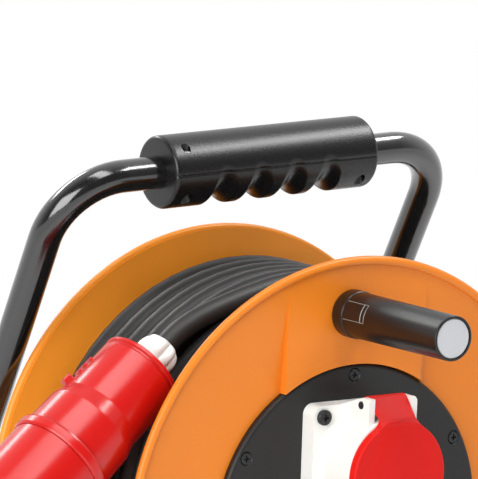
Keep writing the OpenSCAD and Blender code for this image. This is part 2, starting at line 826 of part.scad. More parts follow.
module power_insert() {
  y0 = power_mouth_y + power_recess;
  color(grey_plastic) on_drum() difference() {
    translate([0, 0, power_z]) rod(power_insert_d / 2, y0, y0 + power_insert_l);
    power_contact_places() {
      rod(power_pin_hole_d / 2, y0 - bite, y0 + 5);
      rod(power_contact_d / 2, y0 + 4, y0 + power_insert_l - 8);
    }
  }
}

module power_contacts() {
  y0 = power_mouth_y + power_recess + 4 + fit;
  color(brass) on_drum() power_contact_places()
    ring(power_pin_hole_d / 2, power_contact_d / 2 - fit, y0, y0 + power_insert_l - 13);
}

module power_screws() {
  color(black_plastic) on_drum() power_screw_places() difference() {
    union() {
      rod(power_screw_head_d / 2, power_face_y - power_screw_head_t, power_face_y);
      rod(power_screw_d / 2, power_face_y - bite, dish - fit);
    }
    cross_recess(power_screw_head_d, power_face_y - power_screw_head_t, 1.2);
  }
}

module power_hinge_pin() {
  color(steel) on_drum() translate([0, power_pin_y, power_pin_z])
    rod_x(power_pin_d / 2, -power_pin_l / 2, power_pin_l / 2);
}

// Torsion spring of one wire round a hinge pin
function spring_pitch(wire) = wire + spring_room;
function spring_half(wire) = spring_turns * spring_pitch(wire) / 2 + wire / 2 + spring_room;
module torsion_spring(pin_d, wire) {
  coil_r = (pin_d / 2 + wire / 2 + fit) / cos(180 / spring_rings);
  n = spring_turns * spring_rings;
  rise = spring_pitch(wire) / spring_rings;
  path = [for (i = [0 : n])
    let (a = 360 * i / spring_rings)
    [(i - n / 2) * rise, coil_r * cos(a), coil_r * sin(a)]];
  sweep(path, wire / 2, form_sides, [1, 0, 0]);
}
echo(spring_least_gap_mm = spring_pitch(power_spring_wire) - power_spring_wire);

// Pocket in a hinge knuckle for its spring, open towards the socket
module spring_pocket(r, wire) {
  half = spring_half(wire);
  rod_x(r, -half, half);
  block(-half, half, 0, 3 * r, -r, r);
}

module lid_springs() {
  color(steel) on_drum() {
    translate([0, power_pin_y, power_pin_z]) torsion_spring(power_pin_d, power_spring_wire);
    for (s = [-1, 1]) translate([s * twin_x, twin_hinge_y, twin_hinge_z])
      torsion_spring(twin_pin_d, twin_spring_wire);
  }
}

module power_lid() {
  tab_z0 = power_z + power_lid_d / 2 - 5;
  color(red_plastic) on_drum() difference() {
    union() {
      translate([0, 0, power_z - 1.5]) rod(power_lid_d / 2, power_lid_front_y, power_lid_back_y);
      translate([-power_tab_w / 2, 0, 0]) rotate([90, 0, 90]) linear_extrude(power_tab_w)
        polygon([[power_lid_front_y, tab_z0 - power_tab_root], [power_lid_front_y, tab_z0],
          [power_pin_y - power_knuckle_r * 0.8, power_pin_z + power_knuckle_r * 0.6],
          [power_pin_y, power_pin_z], [power_pin_y - power_knuckle_r, power_pin_z - power_knuckle_r * 0.4],
          [power_lid_back_y, power_z + power_collar_d / 2 + slip], [power_lid_back_y, tab_z0 - power_tab_root]]);
      translate([0, power_pin_y, power_pin_z]) rod_x(power_knuckle_r, -power_tab_w / 2, power_tab_w / 2);
    }
    translate([0, 0, power_z - 1.5])
      rod(power_lid_d / 2 - power_skirt_wall, power_lid_front_y + power_lid_wall, power_lid_back_y + bite);
    translate([0, power_pin_y, power_pin_z]) {
      rod_x(power_pin_d / 2 + running, -power_tab_w, power_tab_w);
      spring_pocket(power_pin_d / 2 + power_spring_wire + spring_room,
        power_spring_wire);
    }
  }
}

module power_lid_seal() {
  r = power_lid_d / 2 - power_skirt_wall - fit;
  color(rubber_black) on_drum() translate([0, 0, power_z - 1.5])
    ring(r - power_seal_wall, r, power_lid_front_y + power_lid_wall, power_lid_back_y);
}

// ---- Household sockets ----

module twin_housing(s) {
  well_r = twin_well_d / 2;
  color(black_plastic) on_drum() difference() {
    union() {
      translate([s * twin_x, 0, -twin_drop]) {
        rod(twin_flange_d / 2, twin_face_y, plate_y0);
        rod(well_r + twin_body_wall, plate_y0 - bite, twin_floor_y + twin_body_l);
      }
      for (e = [-1, 1]) {
        x0 = s * twin_x + (e > 0 ? twin_tab_w / 2 + slip : -twin_tab_w / 2 - slip - twin_ear_t);
        translate([0, twin_hinge_y, twin_hinge_z]) rod_x(twin_knuckle_r, x0, x0 + twin_ear_t);
        block(x0, x0 + twin_ear_t, twin_hinge_y, plate_y0,
          twin_hinge_z - twin_knuckle_r, twin_hinge_z + twin_knuckle_r);
        block(x0, x0 + twin_ear_t, twin_face_y, plate_y0,
          twin_hinge_z - twin_knuckle_r - twin_ear_root, twin_hinge_z);
      }
    }
    translate([s * twin_x, 0, -twin_drop]) {
      rod(well_r, twin_face_y - bite, twin_floor_y);
      for (e = [-1, 1]) translate([e * twin_pin_pitch / 2, 0, 0]) {
        rod(twin_hole_d / 2, twin_floor_y - bite, twin_floor_y + 1.5);
        rod(twin_contact_d / 2, twin_floor_y + 1, twin_floor_y + twin_body_l + bite);
      }
    }
    translate([s * twin_x, twin_hinge_y, twin_hinge_z])
      rod_x(twin_pin_d / 2 + running, -twin_flange_d, twin_flange_d);
  }
}

module twin_housing_left() {
  twin_housing(-1);
}

module twin_housing_right() {
  twin_housing(1);
}

module twin_contacts() {
  color(brass) on_drum() for (s = [-1, 1], e = [-1, 1])
    translate([s * twin_x + e * twin_pin_pitch / 2, 0, -twin_drop])
      ring(twin_hole_d / 2, twin_contact_d / 2 - fit, twin_floor_y + 1 + fit,
        twin_floor_y + twin_body_l);
}

module twin_hinge_pins() {
  half = twin_tab_w / 2 + slip + twin_ear_t;
  color(steel) on_drum() for (s = [-1, 1])
    translate([s * twin_x, twin_hinge_y, twin_hinge_z]) rod_x(twin_pin_d / 2, -half, half);
}

module twin_lid(s) {
  y1 = twin_face_y - slip;
  r = twin_flange_d / 2 - twin_lid_inset;
  color(black_plastic) on_drum() translate([s * twin_x, 0, 0]) difference() {
    union() {
      translate([0, 0, -twin_drop]) {
        rod(r, y1 - twin_lid_t, y1);
        ring(r - 4, r - 2.4, y1 - twin_lid_t - 0.6, y1 - bite);
        ring(0.4, 4, y1 - twin_lid_t - 0.6, y1 - bite);
      }
      block(-twin_tab_w / 2, twin_tab_w / 2, y1 - twin_lid_t, y1,
        -twin_drop + r - 6, twin_hinge_z);
      translate([0, twin_hinge_y, twin_hinge_z])
        rod_x(twin_knuckle_r, -twin_knuckle_l / 2, twin_knuckle_l / 2);
    }
    translate([0, twin_hinge_y, twin_hinge_z]) {
      rod_x(twin_pin_d / 2 + running, -twin_flange_d, twin_flange_d);
      spring_pocket(twin_knuckle_r + slip, twin_spring_wire);
    }
  }
}

module twin_lid_left() {
  twin_lid(-1);
}

module twin_lid_right() {
  twin_lid(1);
}

// ---- Cut-out, terminals and wiring ----

module cutout_body() {
  y1 = dish + cutout_l;
  color(black_plastic) on_drum() translate([0, 0, -reset_drop]) difference() {
    union() {
      block(-cutout_w / 2, cutout_w / 2, dish, y1, -cutout_w / 2 + 1, cutout_w / 2 + 1);
      rod(cutout_thread_d / 2, plate_y0 - cutout_nut_t, dish + bite);
    }
    rod(button_d / 2 + slip, plate_y0 - cutout_nut_t - bite, plate_y0 + button_l);
  }
}

module cutout_nut() {
  color(steel) on_drum() translate([0, 0, -reset_drop]) difference() {
    hex_rod(cutout_nut_af, plate_y0 - cutout_nut_t, plate_y0);
    rod(cutout_thread_d / 2 + fit, plate_y0 - cutout_nut_t - bite, plate_y0 + bite);
  }
}

module reset_button() {
  y0 = plate_y0 - cutout_nut_t - button_proud;
  color(red_plastic) on_drum() translate([0, 0, -reset_drop])
    rod(button_d / 2, y0, plate_y0 + button_l - reset_travel - slip);
}

module terminal_block() {
  color(white_plastic) on_drum() translate([0, 0, block_z]) difference() {
    block(-block_w / 2, block_w / 2, block_y0, rear_floor_y, -block_h / 2, block_h / 2);
    for (i = [-2 : 2]) translate([i * block_w / 5.4, 0, block_h / 2])
      rod(clamp_hole_d / 2, block_y0 + clamp_y0, block_y0 + 2 * clamp_y0);
  }
}

module supply_tail() {
  color(rubber_black) on_drum() sweep(wired(tail_route), cable_r, wire_sides, [0, 0, 1]);
}

module socket_wires() {
  color(rubber_black) on_drum() {
    sweep(wired(power_wire_route), wire_d / 2, wire_sides, [1, 0, 0]);
    for (s = [-1, 1]) sweep([for (p = wired(twin_wire_route)) [s * p[0], p[1], p[2]]],
      wire_d / 2, wire_sides, [1, 0, 0]);
  }
}

// ---- Crank ----

module at_crank() {
  translate([crank_x, 0, crank_z]) children();
}

module crank_pin() {
  y0 = knob_tip_y + knob_cap_t + 2;
  color(steel) on_drum() at_crank() {
    rod(crank_pin_head_d / 2, y0, y0 + crank_pin_head_t);
    rod(crank_pin_d / 2, y0 + crank_pin_head_t - bite, crank_y0);
    rod(crank_stud_d / 2, crank_y0 - bite, crank_back_y + crank_nut_t);
  }
}

module crank_nut() {
  color(steel) on_drum() at_crank() difference() {
    hex_rod(crank_nut_af, crank_back_y, crank_back_y + crank_nut_t);
    rod(crank_stud_d / 2 + fit, 0, crank_back_y + crank_nut_t + bite);
  }
}

module knob_sleeve() {
  floor_y0 = knob_tip_y + knob_cap_t + 2 + crank_pin_head_t + slip;
  color(black_plastic) on_drum() at_crank() difference() {
    union() {
      cone(knob_end_d / 2, knob_d / 2 - 0.6, knob_tip_y, crank_y0 - knob_collar_l);
      rod(knob_d / 2, crank_y0 - knob_collar_l, crank_y0 - slip);
      block(-latch_w / 2, latch_w / 2, crank_y0 - knob_collar_l - latch_l,
        crank_y0 - knob_collar_l + bite, knob_d / 2 - 3, knob_d / 2 - latch_t + 0.5);
    }
    rod(crank_pin_d / 2 + running, knob_tip_y - bite, crank_y0 + bite);
    rod(crank_pin_head_d / 2 + slip, knob_tip_y - bite, floor_y0);
    rod(knob_cap_d / 2 + fit, knob_tip_y - bite, knob_tip_y + knob_cap_t);
  }
}

module knob_cap() {
  color(steel) on_drum() at_crank() rod(knob_cap_d / 2, knob_tip_y + 0.4, knob_tip_y + knob_cap_t);
}

// ---- Frame ----

module tube_section(r) {
  difference() {
    circle(r);
    circle(r - tube_wall);
  }
}

module tube_bend(bend_r, angle) {
  rotate_extrude(angle = angle) translate([bend_r, 0]) tube_section(tube_r);
}

module tube_along_x(x0, x1) {
  translate([x0, 0, 0]) rotate([0, 90, 0]) linear_extrude(x1 - x0) tube_section(tube_r);
}

module tube_up(z0, z1, r = tube_r) {
  translate([0, 0, z0]) linear_extrude(z1 - z0) tube_section(r);
}

// Low bead that joins a knee to its leaning leg
module weld_ring(z) {
  translate([0, 0, z - weld_half]) linear_extrude(2 * weld_half) difference() {
    circle(tube_r + weld_proud);
    circle(tube_r - tube_wall - weld_proud);
  }
}

module both_sides() {
  for (s = [0, 1]) mirror([s, 0, 0]) children();
}

module bracket_bolt_places() {
  both_sides() for (z = [-1, 1]) translate([leg_x, 0, z * bracket_bolt_z]) children();
}

module joint_screw_places() {
  both_sides() translate([leg_x, leg_y, -joint_drop + spigot_l / 2]) children();
}

module handle_frame() {
  color(black_paint) place() difference() {
    union() {
      translate([0, bar_y, bar_z]) rotate([handle_lean - 90, 0, 0]) {
        tube_along_x(-bar_half, bar_half);
        both_sides() {
          translate([bar_half, handle_bend_r, 0]) rotate([0, 0, -90]) tube_bend(handle_bend_r, 90);
          translate([leg_x, handle_bend_r, 0]) rotate([-90, 0, 0]) {
            tube_up(0, leg_l);
            weld_ring(leg_l);
          }
        }
      }
      both_sides() {
        translate([leg_x, leg_y - knee_r, knee_z]) rotate([90, 0, 90])
          tube_bend(knee_r, handle_lean);
        translate([leg_x, leg_y, 0]) tube_up(-joint_drop, knee_z);
      }
    }
    bracket_bolt_places() rod(bracket_bolt_d / 2 + fit, 0, rear_y);
    joint_screw_places() rod(joint_screw_d / 2 + fit, 0, tube_d);
  }
}

module base_frame() {
  spigot_or = tube_r - tube_wall - fit;
  color(black_paint) place() difference() {
    union() {
      both_sides() {
        translate([leg_x, leg_y, 0]) {
          tube_up(skid_z + base_bend_r, -joint_drop - fit);
          tube_up(-joint_drop - tube_d, -joint_drop - bite, tube_r - bite);
          tube_up(-joint_drop - tube_d / 2, -joint_drop + spigot_l, spigot_or);
        }
        translate([leg_x, leg_y - base_bend_r, skid_z + base_bend_r]) rotate([90, 0, 90])
          rotate([0, 0, -90]) tube_bend(base_bend_r, 90);
        translate([leg_x, leg_y - base_bend_r, skid_z]) rotate([90, 0, 0])
          tube_up(0, leg_y + front_reach - 2 * base_bend_r);
        translate([leg_x - base_bend_r, base_bend_r - front_reach, skid_z]) rotate([0, 0, -90])
          tube_bend(base_bend_r, 90);
      }
      translate([0, -front_reach, skid_z])
        tube_along_x(base_bend_r - leg_x, leg_x - base_bend_r);
    }
    joint_screw_places() rod(joint_screw_d / 2 + fit, 0, tube_d);
  }
}

module rubber_feet() {
  sole = tube_r;
  color(rubber_black) place() both_sides() for (y = [foot_y_front, foot_y_rear])
    translate([leg_x, y, skid_z]) difference() {
      union() {
        rod(tube_r + foot_wall, -foot_l / 2, foot_l / 2);
        block(-sole, sole, -foot_l / 2, foot_l / 2, -tube_r - foot_wall, 0);
      }
      rod(tube_r + running, -foot_l, foot_l);
    }
}

module joint_screws() {
  color(steel) place() joint_screw_places() {
    rod(joint_screw_head_d / 2, tube_r, tube_r + joint_screw_head_t);
    rod(joint_screw_d / 2, tube_r - 5, tube_r + bite);
  }
}

module axle_bracket() {
  color(black_paint) place() difference() {
    block(-leg_x - bracket_end, leg_x + bracket_end, bracket_y0, bracket_y1,
      -bracket_h / 2, bracket_h / 2);
    rod(axle_thread_d / 2 + fit, 0, rear_y);
    bracket_bolt_places() rod(bracket_bolt_d / 2 + fit, 0, rear_y);
  }
}

module bracket_bolts() {
  color(steel) place() bracket_bolt_places() {
    hex_rod(bolt_head_af, bracket_y0 - bolt_head_t, bracket_y0);
    rod(bracket_bolt_d / 2, bracket_y0 - bite, rear_y);
  }
}

module bracket_nuts() {
  color(steel) place() bracket_bolt_places() difference() {
    hex_rod(bolt_head_af, rear_y - bolt_nut_t, rear_y);
    rod(bracket_bolt_d / 2 + fit, 0, rear_y + bite);
  }
}

module axle() {
  color(steel) place() {
    rod(axle_thread_d / 2, axle_y0, shoulder_y + bite);
    rod(axle_d / 2, shoulder_y, bracket_y0);
    rod(axle_thread_d / 2, bracket_y0 - bite, bracket_y1 + nut_t + 2);
  }
}

module axle_spacer() {
  color(steel) place()
    ring(axle_d / 2 + fit, bush_flange_r, hub_y1 + bush_flange_t + slip, bracket_y0);
}

module axle_washer() {
  color(steel) place()
    ring(axle_thread_d / 2 + fit, bush_flange_r, shoulder_y - washer_t, shoulder_y);
}

module axle_nuts() {
  color(steel) place() for (y = [shoulder_y - washer_t - nut_t, bracket_y1]) difference() {
    hex_rod(nut_af, y, y + nut_t);
    rod(axle_thread_d / 2 + fit, 0, rear_y);
  }
}

// ---- Grip ----

module grip_screw_places() {
  for (x = [-1, 1], y = [-1, 1]) translate([x * grip_screw_x, bar_y + y * grip_screw_y, bar_z])
    children();
}

// Rounded cylinder with finger grooves that fade out towards its upper half
module grip_body() {
  half = grip_l / 2;
  translate([0, bar_y, bar_z]) difference() {
    rotate([0, 90, 0]) rotate_extrude() {
      translate([0, -half]) square([grip_r - grip_edge_r, grip_l]);
      translate([0, grip_edge_r - half]) square([grip_r, grip_l - 2 * grip_edge_r]);
      for (s = [-1, 1]) translate([grip_r - grip_edge_r, s * (half - grip_edge_r)])
        circle(grip_edge_r);
    }
    for (i = [0 : fingers_n - 1])
      translate([(i - (fingers_n - 1) / 2) * finger_pitch, 0, groove_rise]) rotate([0, 90, 0])
        rotate_extrude() translate([groove_circle_r, 0]) circle(groove_r);
    rod_x(tube_r + fit, -grip_l, grip_l);
  }
}

module grip_upper() {
  color(black_plastic) place() difference() {
    intersection() {
      grip_body();
      block(-grip_l, grip_l, bar_y - grip_d, bar_y + grip_d, bar_z, bar_z + grip_d);
    }
    grip_screw_places() translate([0, 0, -grip_r]) cylinder(d = grip_screw_d, h = grip_r + 8);
  }
}

module grip_lower() {
  color(black_plastic) place() difference() {
    intersection() {
      grip_body();
      block(-grip_l, grip_l, bar_y - grip_d, bar_y + grip_d, bar_z - grip_d, bar_z);
    }
    grip_screw_places() {
      translate([0, 0, -grip_r]) cylinder(d = grip_screw_d, h = grip_d);
      translate([0, 0, -grip_d]) cylinder(d = grip_screw_head_d + fit, h = grip_d - grip_screw_sink);
    }
  }
}

module grip_screws() {
  color(steel) place() grip_screw_places() {
    translate([0, 0, -grip_screw_sink]) cylinder(d = grip_screw_d, h = grip_screw_sink + grip_screw_bite);
    translate([0, 0, -grip_screw_sink - 2.5]) cylinder(d = grip_screw_head_d, h = 2.5);
  }
}

// ---- Lead and plug ----

module cable_lead() {
  color(rubber_black) place() sweep(concat(lead_start, lead_route), cable_r, lead_sides);
}

module at_plug() {
  place() translate(plug_at) rotate([0, plug_tilt, plug_heading]) children();
}

module plug_ring_of(r0, r1, z0, z1) {
  difference() {
    translate([0, 0, z0]) cylinder(r = r1, h = z1 - z0);
    translate([0, 0, z0 - bite]) cylinder(r = r0, h = z1 - z0 + 2 * bite);
  }
}

module plug_pin_places(z0) {
  for (i = [0 : plug_pins_n - 1]) rotate([0, 0, 360 * i / plug_pins_n])
    translate([plug_pin_circle_r, 0, z0]) children();
}

module plug_gland_nut() {
  lobe_circle = gland_d / 2 - 0.6;
  color(white_plastic) at_plug() difference() {
    union() {
      translate([0, 0, -gland_l]) cylinder(d1 = gland_d - 3, d2 = gland_d, h = 4);
      translate([0, 0, 4 - gland_l]) cylinder(d = gland_d, h = gland_l - 4);
      for (i = [0 : gland_lobes - 1]) rotate([0, 0, 360 * i / gland_lobes])
        translate([lobe_circle, 0, 3 - gland_l]) cylinder(d = gland_lobe_d, h = gland_l - 3);
      cylinder(d = gland_thread_d, h = gland_seat);
    }
    translate([0, 0, -gland_l - bite]) cylinder(r = cable_r + fit, h = gland_l + gland_seat + 2 * bite);
  }
}

module plug_body() {
  r = plug_body_d / 2;
  flare = plug_flare_d / 2;
  cavity = plug_cavity_d / 2;
  color(red_plastic) at_plug() difference() {
    union() {
      rotate_extrude() polygon([[0, 0], [r - 1.2, 0], [r, 1], [r, 2.4], [r - 0.8, 3], [r, plug_flare_z0],
        [flare - 0.6, plug_flare_z1], [flare, plug_ring_z0], [flare, plug_body_l - 2],
        [flare - 3.2, plug_body_l - 2], [flare - 3.2, plug_body_l + plug_neck_l],
        [0, plug_body_l + plug_neck_l]]);
      translate([-r - plug_lug[0] / 2, -plug_lug[1] / 2, plug_lug_z]) cube(plug_lug);
    }
    translate([0, 0, -bite]) cylinder(d = gland_thread_d + 2 * fit, h = gland_seat + 2 * bite);
    translate([0, 0, gland_seat]) cylinder(r = cavity, h = plug_body_l + 20);
  }
}

module plug_ring() {
  color(red_plastic) at_plug()
    plug_ring_of(plug_flare_d / 2 + fit, plug_ring_d / 2, plug_ring_z0, plug_ring_z0 + plug_ring_l);
}

module plug_shroud() {
  r = plug_shroud_d / 2;
  z0 = plug_ring_z0 + plug_ring_l + fit;
  color(red_plastic) at_plug() {
    plug_ring_of(r - plug_shroud_wall, r, z0, plug_l);
    translate([r - bite, -plug_key[1] / 2, plug_l - plug_key[2]])
      cube([plug_key[0] + bite, plug_key[1], plug_key[2]]);
  }
}

module plug_insert() {
  r = plug_shroud_d / 2 - plug_shroud_wall - fit;
  z0 = plug_body_l + plug_neck_l + fit;
  color(grey_plastic) at_plug() difference() {
    translate([0, 0, z0]) cylinder(r = r, h = plug_insert_t);
    plug_pin_places(z0 - bite) cylinder(d = plug_pin_d + fit, h = plug_insert_t + 2 * bite);
  }
}

module plug_pins() {
  z0 = plug_body_l + plug_neck_l + fit;
  color(brass) at_plug() plug_pin_places(z0) cylinder(d = plug_pin_d, h = plug_insert_t + plug_pin_l);
}

front_flange();
rear_flange();
drum_barrel();
barrel_screws();
hub_bush_front();
hub_bush_rear();
cable_core();
cable_winding();
socket_plate();
plate_gasket();
plate_screws();
power_housing();
power_insert();
power_contacts();
power_screws();
power_hinge_pin();
lid_springs();
power_lid();
power_lid_seal();
twin_housing_left();
twin_housing_right();
twin_contacts();
twin_hinge_pins();
twin_lid_left();
twin_lid_right();
cutout_body();
cutout_nut();
reset_button();
terminal_block();
supply_tail();
socket_wires();
crank_pin();
crank_nut();
knob_sleeve();
knob_cap();
handle_frame();
base_frame();
rubber_feet();
joint_screws();
axle_bracket();
bracket_bolts();
bracket_nuts();
axle();
axle_spacer();
axle_washer();
axle_nuts();
grip_upper();
grip_lower();
grip_screws();
cable_lead();
plug_gland_nut();
plug_body();
plug_ring();
plug_shroud();
plug_insert();
plug_pins();
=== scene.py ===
"""Extension cord reel: finishes and fine shapes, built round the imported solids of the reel."""

import json
import math

import bmesh
import bpy
import numpy as np
from mathutils import Matrix, Vector


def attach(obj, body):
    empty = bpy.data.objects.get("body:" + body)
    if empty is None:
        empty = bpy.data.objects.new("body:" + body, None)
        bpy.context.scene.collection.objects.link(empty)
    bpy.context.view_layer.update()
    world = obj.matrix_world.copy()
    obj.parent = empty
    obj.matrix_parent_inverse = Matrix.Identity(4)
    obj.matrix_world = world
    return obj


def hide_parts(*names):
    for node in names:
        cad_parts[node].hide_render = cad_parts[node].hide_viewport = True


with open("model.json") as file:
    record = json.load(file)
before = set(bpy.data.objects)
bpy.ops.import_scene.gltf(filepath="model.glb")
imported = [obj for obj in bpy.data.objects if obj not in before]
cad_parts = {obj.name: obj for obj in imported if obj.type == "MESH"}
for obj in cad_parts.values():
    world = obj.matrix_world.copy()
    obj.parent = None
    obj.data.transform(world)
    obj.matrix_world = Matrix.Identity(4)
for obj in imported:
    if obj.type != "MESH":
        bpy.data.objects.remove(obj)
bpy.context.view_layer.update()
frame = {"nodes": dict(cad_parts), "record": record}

bl_info = {
    "name": "Extension cord reel",
    "version": (1, 0, 0),
    "blender": (4, 5, 0),
    "location": "3D View > Sidebar > Reel",
    "description": "Builds the finishes and fine shapes of an extension cord reel round its packed solids",
    "category": "Object",
}

# The reel's own drawing frame is in millimetres: the drum's axis is its Y axis, and Y is 0 at the front rim.
MM = 0.001
DRUM_TURN = math.radians(2.5)
REEL = Matrix.Translation((0, -0.0523, 0.165)) @ Matrix.Scale(MM, 4)
DRUM = REEL @ Matrix.Rotation(DRUM_TURN, 4, "Y")
PLUG = (
    REEL
    @ Matrix.Translation((-110.1, 39, 90.9))
    @ Matrix.Rotation(math.radians(-171.7), 4, "Z")
    @ Matrix.Rotation(math.radians(124), 4, "Y")
)
CRANK = DRUM @ Matrix.Translation((-5, 0, math.sqrt(114.5**2 - 25)))


def linear(code):
    """A colour written as a hex sRGB value, as the linear RGBA that a socket takes."""
    channels = [int(code[i : i + 2], 16) / 255 for i in (1, 3, 5)]
    return tuple(c / 12.92 if c <= 0.04045 else ((c + 0.055) / 1.055) ** 2.4 for c in channels) + (1.0,)


# ---- Sizes and colours that a user may change ----


def length(name, default, words):
    """A length property, in metres."""
    return bpy.props.FloatProperty(name=name, description=words, default=default, unit="LENGTH")


class ReelSizes(bpy.types.PropertyGroup):
    cable: length("Cable diameter", 0.012, "Outside diameter of the cable")
    pitch: length("Winding pitch", 0.0126, "Distance between neighbouring turns")
    cable_sides: bpy.props.IntProperty(
        name="Cable sides", description="Facets round the wound cable", default=16, min=8, max=32
    )
    turn_points: bpy.props.IntProperty(
        name="Points a turn", description="Points along each turn of the winding", default=64, min=24, max=120
    )
    tube: length("Tube diameter", 0.018, "Outside diameter of the frame's tube")
    moulded_edge: length("Moulded edge", 0.0006, "Radius of the edges of moulded parts")
    metal_edge: length("Metal edge", 0.0003, "Radius of the broken edges of metal parts")
    finger_blend: length("Finger groove blend", 0.0016, "Radius of the grip's edges between its finger grooves")


def colour(name, code, words):
    """A colour property whose default is written as a hex value."""
    return bpy.props.FloatVectorProperty(
        name=name, description=words, subtype="COLOR", size=4, min=0, max=1, default=linear(code)
    )


class ReelColours(bpy.types.PropertyGroup):
    drum: colour("Drum", "#DD7B1E", "Moulded polypropylene of the front flange and the barrel")
    # The rear flange's colour is painted light: a lighter, warmer copy of the drum's colour, standing in for light
    # that reaches the rear flange less in this scene.
    rear: colour("Rear flange", "#F0922A", "Polypropylene of the rear flange, set lighter and warmer than the front")
    cable: colour("Cable", "#201E1D", "Rubber sheath of the cable")
    plate: colour("Socket plate", "#131211", "Nylon of the socket plate and the household sockets")
    white: colour("White parts", "#E8E8E4", "Polyamide of the three-phase housing and the gland nut")
    # The plug's red is a darker copy of the lid's: painted shade against the stronger light that falls on the plug.
    plug: colour("Plug", "#BE100B", "Polyamide of the plug")
    lid: colour("Lid and button", "#CC140E", "Polyamide of the three-phase lid and the reset button")
    knob: colour("Crank knob", "#0C0C0C", "Moulded plastic of the crank knob")
    grip: colour("Grip", "#0D0D0D", "Moulded plastic of the carrying grip")
    paint: colour("Frame paint", "#101010", "Powder coat of the tube frame")


def sizes():
    return bpy.context.scene.reel_sizes


def colours():
    return bpy.context.scene.reel_colours


# ---- Materials ----


def add(tree, kind, values=None, links=None, **settings):
    """Adds one node with its settings, input values and incoming links."""
    made = tree.nodes.new(kind)
    for key, value in settings.items():
        setattr(made, key, value)
    for key, value in (values or {}).items():
        made.inputs[key].default_value = value
    for key, source in (links or {}).items():
        tree.links.new(source, made.inputs[key])
    return made


def blank(name):
    """A new material, its node tree, and the place on the object, which is all that the tree holds."""
    material = bpy.data.materials.new(name)
    material.use_nodes = True
    tree = material.node_tree
    tree.nodes.clear()
    return material, tree, add(tree, "ShaderNodeTexCoord").outputs["Object"]


def noise(tree, place, scale, detail, roughness):
    """The value of a noise pattern at a place."""
    values = {"Scale": scale, "Detail": detail, "Roughness": roughness}
    return add(tree, "ShaderNodeTexNoise", values, {"Vector": place}).outputs["Fac"]


def mapped(tree, value, low, high, bottom=0.0, top=1.0, curve="LINEAR"):
    """A value that runs from bottom to top while another one runs from low to high."""
    ends = {"From Min": low, "From Max": high, "To Min": bottom, "To Max": top}
    return add(tree, "ShaderNodeMapRange", ends, {"Value": value}, interpolation_type=curve).outputs["Result"]


def tinted(tree, base, pattern, low, high):
    """A colour that a pattern scales between two shares of it."""
    shade = mapped(tree, pattern, 0.0, 1.0, low, high)
    return add(tree, "ShaderNodeVectorMath", {0: base[:3]}, {"Scale": shade}, operation="SCALE").outputs["Vector"]


def skinned(tree, tint, pattern, roughness, spread, depth, **values):
    """Ends a material: a shader whose roughness and relief, depth mm deep, follow a fine pattern."""
    rough = mapped(tree, pattern, 0.3, 0.7, roughness * (1 - spread), roughness * (1 + spread))
    relief = add(tree, "ShaderNodeBump", {"Strength": 1.0, "Distance": depth * MM}, {"Height": pattern})
    links = {"Base Color": tint, "Roughness": rough, "Normal": relief.outputs["Normal"]}
    shader = add(tree, "ShaderNodeBsdfPrincipled", {k.replace("_", " "): v for k, v in values.items()}, links)
    add(tree, "ShaderNodeOutputMaterial", links={"Surface": shader.outputs["BSDF"]})


def surface(name, base, roughness, metallic=0.0, grain=0.4, bump=0.02, mottle=0.03, wear=0.06, coat=0.0, ior=1.5):
    """A solid finish. grain is the size of its surface texture in mm and bump its depth in mm, mottle how far the
    colour drifts over a few centimetres, and wear how far the roughness does."""
    found = bpy.data.materials.get(name)
    if found:
        return found
    material, tree, place = blank(name)
    tint = tinted(tree, base, noise(tree, place, 28.0, 3.0, 0.6), 1 - mottle, 1 + mottle)
    fine = noise(tree, place, 1 / (grain * MM), 2.0, 0.5)
    skinned(tree, tint, fine, roughness, wear, bump, Metallic=metallic, IOR=ior, Coat_Weight=coat, Coat_Roughness=0.12)
    return material


def brushed(name, base, roughness, along, pitch):
    """A metal with fine parallel lines square to the axis named by along, pitch mm apart."""
    found = bpy.data.materials.get(name)
    if found:
        return found
    material, tree, place = blank(name)
    stretch = [1 / (pitch * MM) if axis == along else 60.0 for axis in "XYZ"]
    lines = add(tree, "ShaderNodeMapping", {"Scale": stretch}, {"Vector": place})
    tint = tinted(tree, base, noise(tree, place, 90.0, 4.0, 0.6), 0.86, 1.08)
    skinned(tree, tint, noise(tree, lines.outputs["Vector"], 1.0, 2.0, 0.55), roughness, 0.25, 0.01, Metallic=1.0)
    return material


def polypropylene():
    """Moulded polypropylene: a satin skin with a faint spark-eroded texture."""
    return surface("moulded_polypropylene", colours().drum, 0.36, grain=0.5, bump=0.012, mottle=0.025, ior=1.42)


def painted_light_rear_polypropylene():
    """The same polypropylene, painted lighter and warmer on the rear flange to stand in for the light that reaches it
    less.
    """
    return surface("moulded_polypropylene_painted_lighter", colours().rear, 0.36, grain=0.5, bump=0.012, mottle=0.025, ior=1.42)


def sheath_rubber():
    """Extruded rubber sheath: matt, with a fine dusty tooth."""
    return surface(
        "extruded_rubber_sheath", colours().cable, 0.5, grain=0.7, bump=0.03, mottle=0.12, wear=0.15, ior=1.52
    )


def nylon():
    """Glass-filled nylon: a dull, fine-textured dark grey."""
    return surface("textured_nylon", colours().plate, 0.5, grain=0.35, bump=0.03, mottle=0.04, wear=0.1)


def white_polyamide():
    """White polyamide: smooth and slightly waxy."""
    return surface("white_polyamide", colours().white, 0.34, grain=0.8, bump=0.006, mottle=0.012)


def plug_polyamide_painted_shade():
    """Red polyamide of the plug: smooth, with a satin gloss that spreads a highlight. Its red is painted darker than
    the lid's, as painted shade for the stronger light on the plug.
    """
    return surface("plug_polyamide_painted_shade", colours().plug, 0.24, grain=0.9, bump=0.008, mottle=0.03)


def lid_polyamide():
    """Red polyamide of the lid and the button: the lid's red, of which the plug has a darker painted-shade copy, with
    a duller moulded skin.
    """
    return surface("dull_red_polyamide", colours().lid, 0.55, grain=0.6, bump=0.01, mottle=0.02, ior=1.3)


